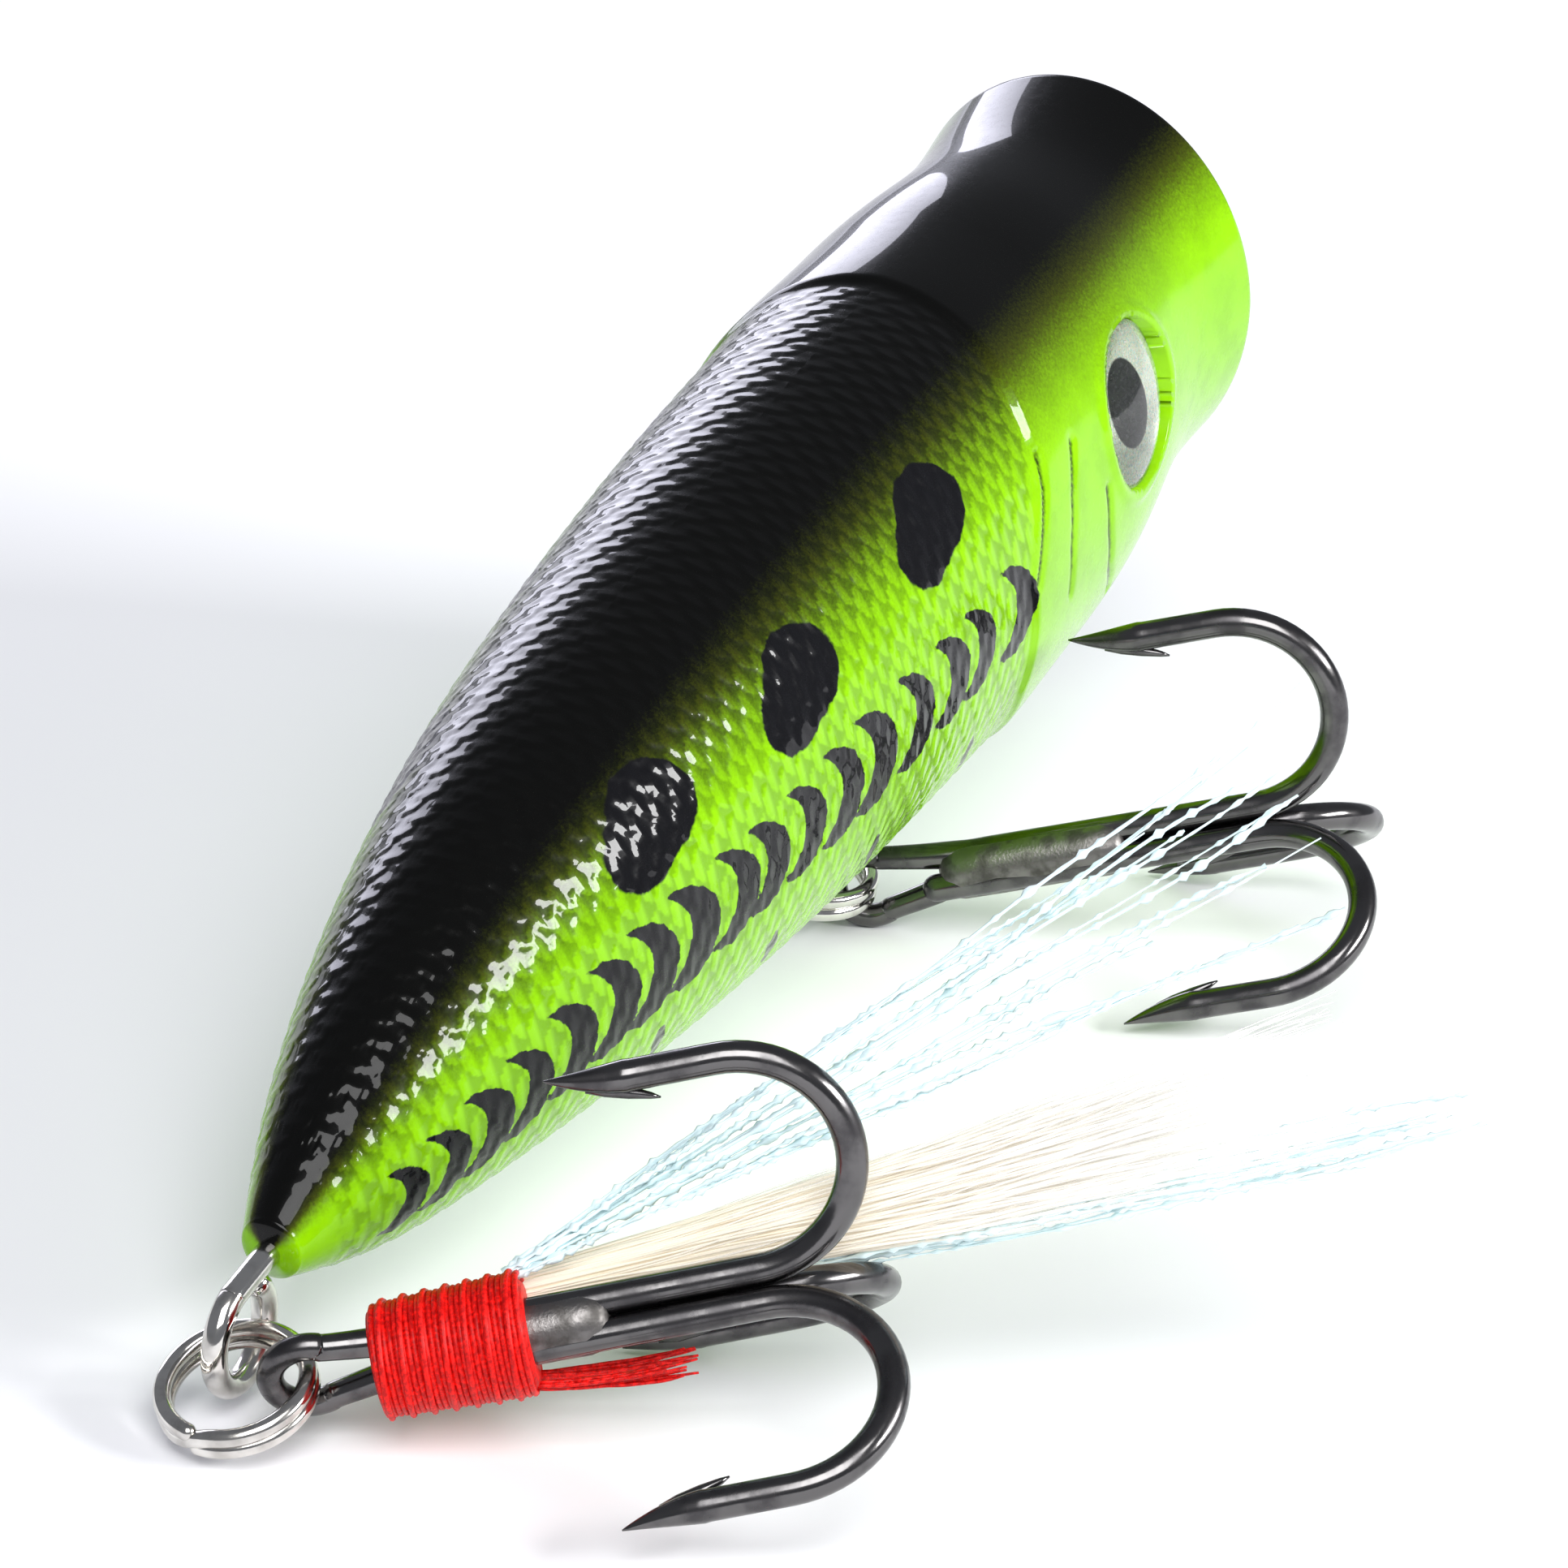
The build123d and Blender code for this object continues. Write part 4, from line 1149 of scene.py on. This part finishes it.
def strand_tree():
    """A bundle of strands along x, spreading about a rising middle line."""
    tree, nodes, entry = node_tree("strand_bundle", {
        "Count": 100, "Seed": 7, "Points": 22, "Root": 0.0066, "Length": 0.024, "Length spread": 0.2,
        "Near offset": 0.002, "Far offset": 0.006, "Bend": 0.0, "Near radius": 0.0007, "Far width": 0.0026,
        "Far height": 0.0026, "Stray": 0.0006, "Waves": 110.0, "Strand radius": 0.00005, "Flatness": 1.0,
        "Tip share": 0.4, "Beads": 0.0, "Bead scale": 60.0})
    math, times, plus, minus = nodes.math, nodes.times, nodes.plus, nodes.minus
    geometry = nodes.add("GeometryNodePoints", {"Count": entry["Count"]}).outputs[0]
    strand = nodes.add("GeometryNodeCurvePrimitiveLine", {"Start": (0, 0, 0), "End": (1, 0, 0)})
    fine = nodes.add("GeometryNodeResampleCurve", {"Curve": strand.outputs[0], "Count": entry["Points"]})
    for k, label in enumerate(("draw", "aim", "reach", "twist")):
        chance = nodes.add("FunctionNodeRandomValue", {2: 0.0, 3: 1.0, "Seed": plus(entry["Seed"], 11.0 * k)},
                           data_type="FLOAT")
        geometry = nodes.store(geometry, label, chance.outputs[1])
    placed = nodes.add("GeometryNodeInstanceOnPoints", {"Points": geometry, "Instance": fine.outputs[0]})
    real = nodes.add("GeometryNodeRealizeInstances", {"Geometry": placed.outputs[0]})

    def named(label):
        return nodes.add("GeometryNodeInputNamedAttribute", {"Name": label}, data_type="FLOAT").outputs[0]

    t = nodes.add("GeometryNodeSplineParameter").outputs["Factor"]
    away = math("SQRT", named("draw"))
    angle = times(named("aim"), 2 * pi)
    shorter = minus(1.0, times(math("POWER", named("reach"), 1.6), entry["Length spread"]))
    reach = times(t, shorter, entry["Length"])
    span = times(math("POWER", t, 1.15), shorter)

    def widened(far):
        """From the near radius at the root to a far size at the tips."""
        return plus(entry["Near radius"], times(span, minus(entry[far], entry["Near radius"])))

    side = times(away, math("COSINE", angle), widened("Far width"))
    up = times(away, math("SINE", angle), widened("Far height"))
    middle = plus(entry["Near offset"], times(t, shorter, minus(entry["Far offset"], entry["Near offset"])))
    bend = times(t, minus(1.0, t), entry["Bend"])
    place = nodes.point(plus(entry["Root"], reach), side, plus(middle, bend, up))
    sample = nodes.point(times(reach, entry["Waves"]), times(named("draw"), 9.0), times(named("twist"), 5.0))
    noise = nodes.add("ShaderNodeTexNoise", {"Vector": sample, "Scale": 1.0, "Detail": 1.0})
    centred = nodes.add("ShaderNodeVectorMath", {0: noise.outputs["Color"], 1: (0.5, 0.5, 0.5)},
                        operation="SUBTRACT")
    stray = nodes.add("ShaderNodeVectorMath", {0: centred.outputs[0], "Scale": times(t, 2.0, entry["Stray"])},
                      operation="SCALE")
    total = nodes.add("ShaderNodeVectorMath", {0: place, 1: stray.outputs[0]}, operation="ADD")
    kept = nodes.store(real.outputs[0], "along", t)
    shaped = nodes.add("GeometryNodeSetPosition", {"Geometry": kept, "Position": total.outputs[0]})
    twist = plus(times(named("twist"), 6.28), times(t, 5.0))
    tilt = nodes.add("GeometryNodeSetCurveTilt", {"Curve": shaped.outputs[0], "Tilt": twist})
    bead = nodes.noise(1.0, 0.0, 0.5, nodes.point(times(t, entry["Bead scale"]), times(named("draw"), 90.0)))
    swelling = nodes.ramp(bead, 0.54, 0.66)
    beaded = nodes.store(tilt.outputs[0], "bead", swelling)
    thin = minus(1.0, times(math("POWER", t, 3.0), minus(1.0, entry["Tip share"])))
    thin = times(thin, plus(1.0, times(swelling, entry["Beads"])))
    sized = nodes.add("GeometryNodeSetCurveRadius", {"Curve": beaded, "Radius": thin})
    ring = nodes.add("GeometryNodeCurvePrimitiveCircle", {"Resolution": 5, "Radius": entry["Strand radius"]})
    flat = nodes.add("GeometryNodeTransform", {"Geometry": ring.outputs[0],
                                               "Scale": nodes.point(1.0, entry["Flatness"], 1.0)})
    mesh = nodes.add("GeometryNodeCurveToMesh", {"Curve": sized.outputs[0], "Profile Curve": flat.outputs[0],
                                                 "Fill Caps": True})
    if "Scale" in mesh.inputs:
        nodes.feed(mesh, {"Scale": nodes.add("GeometryNodeInputRadius").outputs[0]})
    close_tree(nodes, mesh.outputs[0], entry["Material"])
    return tree


# ---------------------------------------------------------------- operators
class POPPER_OT_body(bpy.types.Operator):
    """Build both painted halves of the body"""
    bl_idname = "popper.body"
    bl_label = "Body halves"

    def execute(self, context):
        skin_half("skin_right", -1, "body_shell_right")
        skin_half("skin_left", 1, "body_shell_left")
        return {"FINISHED"}


class POPPER_OT_eyes(bpy.types.Operator):
    """Build the foil eyes and their clear domes"""
    bl_idname = "popper.eyes"
    bl_label = "Eyes"

    def execute(self, context):
        eye_pieces("right_eye", -1, "right_eye_disc", "right_eye_lens")
        eye_pieces("left_eye", 1, "left_eye_disc", "left_eye_lens")
        return {"FINISHED"}


class POPPER_OT_hangers(bpy.types.Operator):
    """Bend the line tie and the two hook hangers"""
    bl_idname = "popper.hangers"
    bl_label = "Line tie and hangers"

    def execute(self, context):
        leg = 0.42 * MM
        tie = [(-5.4 * MM, leg), (-3.4 * MM, leg), (-2.0 * MM, leg * 1.1)] + loop_path(1.4 * MM, 140, -140)
        tie += [(-2.0 * MM, -leg * 1.1), (-3.4 * MM, -leg), (-5.4 * MM, -leg)]
        hanger("line_tie_wire", "line_tie_eye", np.zeros(3), tie)
        centre = np.array(JOINTS["belly_ring_swing"]["pos_m"], float)
        belly = [(leg, 3.6 * MM), (leg, 2.7 * MM), (leg * 1.2, 2.0 * MM)] + loop_path(1.55 * MM, 52, -232)
        belly += [(-leg * 1.2, 2.0 * MM), (-leg, 2.7 * MM), (-leg, 3.6 * MM)]
        hanger("belly_hanger_wire", "belly_hanger_eye", centre, belly)
        centre = np.array(JOINTS["tail_ring_swing"]["pos_m"], float)
        tail = [(6.0 * MM, 1.55 * MM), (4.0 * MM, 1.55 * MM), (2.0 * MM, 1.55 * MM)]
        tail += loop_path(1.55 * MM, 90, 396, 26)
        hanger("tail_hanger_wire", "tail_hanger_eye", centre, tail)
        return {"FINISHED"}


class POPPER_OT_hooks(bpy.types.Operator):
    """Build the split rings and both treble hooks"""
    bl_idname = "popper.hooks"
    bl_label = "Rings and hooks"

    def execute(self, context):
        hardware = context.scene.popper_hardware
        for name, roll in (("belly", hardware.belly_roll), ("tail", hardware.tail_roll)):
            split_ring(name)
            treble(name, roll)
        return {"FINISHED"}


class POPPER_OT_winding(bpy.types.Operator):
    """Wind the red thread on the tail hook"""
    bl_idname = "popper.winding"
    bl_label = "Thread winding"

    def execute(self, context):
        sizes = context.scene.popper_dressing
        red = look_named("red_thread")
        tree = winding_tree()
        length = sizes.wrap_end - sizes.wrap_start - sizes.thread
        outside = sizes.wrap_radius - sizes.thread / 2
        layers = []
        for name, turns, low, high in (
            ("winding_layer", length / sizes.thread, outside - 0.24 * MM, outside - 0.06 * MM),
            ("winding_cross", 7.0, outside - 0.14 * MM, outside + 0.02 * MM),
        ):
            settings = {"Turns": turns, "Start radius": low, "End radius": high, "Length": length,
                        "Start": sizes.wrap_start + sizes.thread / 2, "Thread radius": sizes.thread * 0.56,
                        "Material": red}
            piece = grown(name, tree, settings)
            move_into_hook(piece, "tail")
            layers.append(piece)
        inner = outside - 0.17 * MM
        low, high = sizes.wrap_start, sizes.wrap_end
        profile = [(low, 0), (low, inner - 0.2 * MM), (low + 0.15 * MM, inner - 0.1 * MM),
                   (high - 0.15 * MM, inner), (high, inner - 0.2 * MM), (high, 0)]
        vertices, faces = lathe(profile, 64)
        core = make_object("winding_core", in_hook("tail", vertices), faces)
        give_float(core.data, "along", vertices[:, 0] / sizes.thread)
        for piece in (core, *layers):
            finish_piece(piece, "tail_hook", "winding_thread", "red_thread", "thread_wrap")
        tags = strand_tree()
        roll = context.scene.popper_hardware.tail_roll - pi
        for name, spread, seed in (("tag_end_one", radians(-14.0), 3), ("tag_end_two", radians(14.0), 5)):
            settings = {"Count": 9, "Seed": seed, "Root": high - 0.5 * MM, "Length": 5.0 * MM,
                        "Length spread": 0.25, "Near offset": 1.5 * MM, "Far offset": 1.95 * MM,
                        "Near radius": 0.09 * MM, "Bend": 0.6 * MM, "Far width": 0.26 * MM,
                        "Far height": 0.26 * MM, "Stray": 0.25 * MM, "Waves": 300.0,
                        "Strand radius": 0.075 * MM, "Flatness": 1.0, "Tip share": 0.5, "Material": red}
            piece = grown(name, tags, settings)
            move_into_hook(piece, "tail", roll + spread)
            finish_piece(piece, "tail_hook", "winding_thread", "red_thread", "thread_tags")
        return {"FINISHED"}


class POPPER_OT_dressing(bpy.types.Operator):
    """Tie in the pale hair and the two sprays of flash"""
    bl_idname = "popper.dressing"
    bl_label = "Hair and flash"

    def execute(self, context):
        sizes = context.scene.popper_dressing
        tree = bpy.data.node_groups["strand_bundle"]
        hair = {"Count": sizes.hairs, "Seed": sizes.seed, "Root": 5.9 * MM, "Length": 25.0 * MM,
                "Length spread": 0.62, "Near offset": 1.85 * MM, "Far offset": 4.2 * MM,
                "Near radius": 0.55 * MM, "Far width": 2.3 * MM, "Far height": 2.3 * MM, "Stray": 0.9 * MM,
                "Waves": 130.0, "Bend": -1.0 * MM, "Points": 22, "Strand radius": 0.042 * MM, "Flatness": 1.0,
                "Tip share": 0.25, "Material": look_named("pale_hair")}
        piece = grown("hair_bundle", tree, hair)
        move_into_hook(piece, "tail", radians(-3.6))
        finish_piece(piece, "tail_hook", "dressing_hair", "pale_hair", "tail_hair")
        # Each spray: piece, node, roll in degrees, length, far offset and far height in mm, seed.
        sprays = (
            ("flash_upper", "upper_flash", 36.0, 25.6, 10.6, 4.2, 41),
            ("flash_lower", "lower_flash", -34.0, 28.2, 5.2, 2.6, 23),
        )
        for name, node, roll, length, far, height, seed in sprays:
            settings = {"Count": sizes.flashes, "Seed": sizes.seed + seed, "Root": 6.0 * MM,
                        "Length": length * MM, "Length spread": 0.22, "Near offset": 1.7 * MM,
                        "Far offset": far * MM,
                        "Near radius": 0.22 * MM, "Far width": 0.5 * MM, "Far height": height * MM,
                        "Stray": 1.5 * MM, "Waves": 70.0, "Bend": 0.0, "Points": 150, "Beads": 1.9,
                        "Bead scale": 90.0, "Strand radius": 0.062 * MM, "Flatness": 0.45, "Tip share": 0.9,
                        "Material": look_named("flash_film")}
            piece = grown(name, tree, settings)
            move_into_hook(piece, "tail", radians(roll))
            finish_piece(piece, "tail_hook", "flash_film", "flash_film", node)
        return {"FINISHED"}


class POPPER_OT_inside(bpy.types.Operator):
    """Finish the ballast and the rattle balls, which stay as drawn in the CAD"""
    bl_idname = "popper.inside"
    bl_label = "Ballast and rattles"

    def execute(self, context):
        for name in ("tail_weight", "rear_rattle_ball", "front_rattle_ball"):
            mesh = frame["nodes"][name].data
            mesh.materials.clear()
            mesh.materials.append(look_named("plain_steel"))
        return {"FINISHED"}


def look_along(forward, up):
    """A rotation whose local -z looks along a direction."""
    forward = Vector(forward).normalized()
    right = forward.cross(Vector(up)).normalized()
    lifted = right.cross(forward)
    return Matrix((right, lifted, -forward)).transposed()


STAGE_HALF = 3.0  # metres
LIGHT_AIM = Vector((-0.03, 0.0, 0.0))
# Each light: name, place, width and height, watts, colour.
LIGHTS = (
    ("overhead", (-0.40, -0.22, 0.46), (0.42, 0.42), 3.7, (1, 1, 1)),
    ("left_bank", (0.30, 0.36, 0.13), (0.34, 0.20), 1.25, (0.86, 0.86, 1.0)),
    ("right_strip", (0.05, -0.47, 0.22), (0.27, 0.100), 2.8, (1, 1, 1)),
)


def soft_light(name, place, size, power, colour):
    data = bpy.data.lights.new(name, "AREA")
    data.shape = "RECTANGLE"
    data.size, data.size_y = size
    data.energy = power
    data.color = colour
    light = bpy.data.objects.new(name, data)
    light.rotation_euler = look_along(LIGHT_AIM - Vector(place), (0.01, 0.02, 1)).to_euler()
    light.location = place
    light.visible_camera = False
    bpy.context.scene.collection.objects.link(light)


class POPPER_OT_stage(bpy.types.Operator):
    """Set the pale floor, the soft lights and the camera"""
    bl_idname = "popper.stage"
    bl_label = "Stage"

    def execute(self, context):
        sizes = context.scene.popper_stage
        body = context.scene.popper_body
        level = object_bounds()[0][2]
        corners = [(STAGE_HALF * a, STAGE_HALF * b, level) for a, b in ((-1, -1), (1, -1), (1, 1), (-1, 1))]
        floor = make_object("floor", corners, [(0, 1, 2, 3)], smooth=False)
        nodes, shader = new_material("pale_floor")
        shade = tuple(0.985 * c for c in sizes.floor)
        nodes.feed(shader, {
            "Base Color": nodes.mix(nodes.ramp(nodes.noise(40.0, 3.0), 0.3, 0.7), sizes.floor, shade),
            "Roughness": 0.75,
            "Specular IOR Level": 0.15,
        })
        floor.data.materials.append(bpy.data.materials["pale_floor"])
        floor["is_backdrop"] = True
        for light in LIGHTS:
            soft_light(*light)
        world = bpy.data.worlds.new("studio")
        world.use_nodes = True
        sky = world.node_tree.nodes["Background"]
        sky.inputs["Color"].default_value = (0.86, 0.90, 1.0, 1)
        sky.inputs["Strength"].default_value = 0.22
        context.scene.world = world
        context.scene.view_settings.view_transform = "Standard"
        context.scene.view_settings.look = "None"
        azimuth, elevation, roll = sizes.azimuth, sizes.elevation, sizes.roll
        forward = np.array((cos(elevation) * cos(azimuth), cos(elevation) * sin(azimuth), -sin(elevation)))
        right = np.cross(forward, (0, 0, 1))
        right /= np.linalg.norm(right)
        up = np.cross(right, forward)
        right, up = right * cos(roll) + up * sin(roll), up * cos(roll) - right * sin(roll)
        target = np.array(sizes.target)
        zero = at_rest((0, 0, 0), body)[0]
        axes = [at_rest(v, body)[0] - zero for v in (right, up, -forward)]
        data = bpy.data.cameras.new("camera")
        data.lens = sizes.lens
        data.sensor_width = 36.0
        data.clip_start, data.clip_end = 0.01, 10.0
        camera = bpy.data.objects.new("camera", data)
        turn = Matrix([Vector(axis) for axis in axes]).transposed()
        camera.rotation_euler = turn.to_euler()
        camera.location = at_rest(target - forward * sizes.distance, body)[0]
        context.scene.collection.objects.link(camera)
        context.scene.camera = camera
        return {"FINISHED"}


class POPPER_PT_panel(bpy.types.Panel):
    """Lists the popper's builders"""
    bl_idname = "POPPER_PT_panel"
    bl_label = "Popper"
    bl_space_type = "VIEW_3D"
    bl_region_type = "UI"
    bl_category = "Popper"

    def draw(self, context):
        for name in GROUPS:
            box = self.layout.box()
            settings = getattr(context.scene, name)
            for key in settings.bl_rna.properties.keys():
                if key not in ("rna_type", "name"):
                    box.prop(settings, key)
        for operator in OPERATORS:
            self.layout.operator(operator.bl_idname)


OPERATORS = (POPPER_OT_body, POPPER_OT_eyes, POPPER_OT_hangers, POPPER_OT_hooks, POPPER_OT_winding,
             POPPER_OT_dressing, POPPER_OT_inside, POPPER_OT_stage)


def register():
    for group in GROUPS.values():
        bpy.utils.register_class(group)
    for name, group in GROUPS.items():
        setattr(bpy.types.Scene, name, PointerProperty(type=group))
    for operator in OPERATORS:
        bpy.utils.register_class(operator)
    bpy.utils.register_class(POPPER_PT_panel)


def unregister():
    bpy.utils.unregister_class(POPPER_PT_panel)
    for operator in reversed(OPERATORS):
        bpy.utils.unregister_class(operator)
    for name, group in GROUPS.items():
        delattr(bpy.types.Scene, name)
        bpy.utils.unregister_class(group)


def main():
    register()
    for operator in OPERATORS:
        family, name = operator.bl_idname.split(".")
        getattr(getattr(bpy.ops, family), name)()


if __name__ == "__main__":
    main()
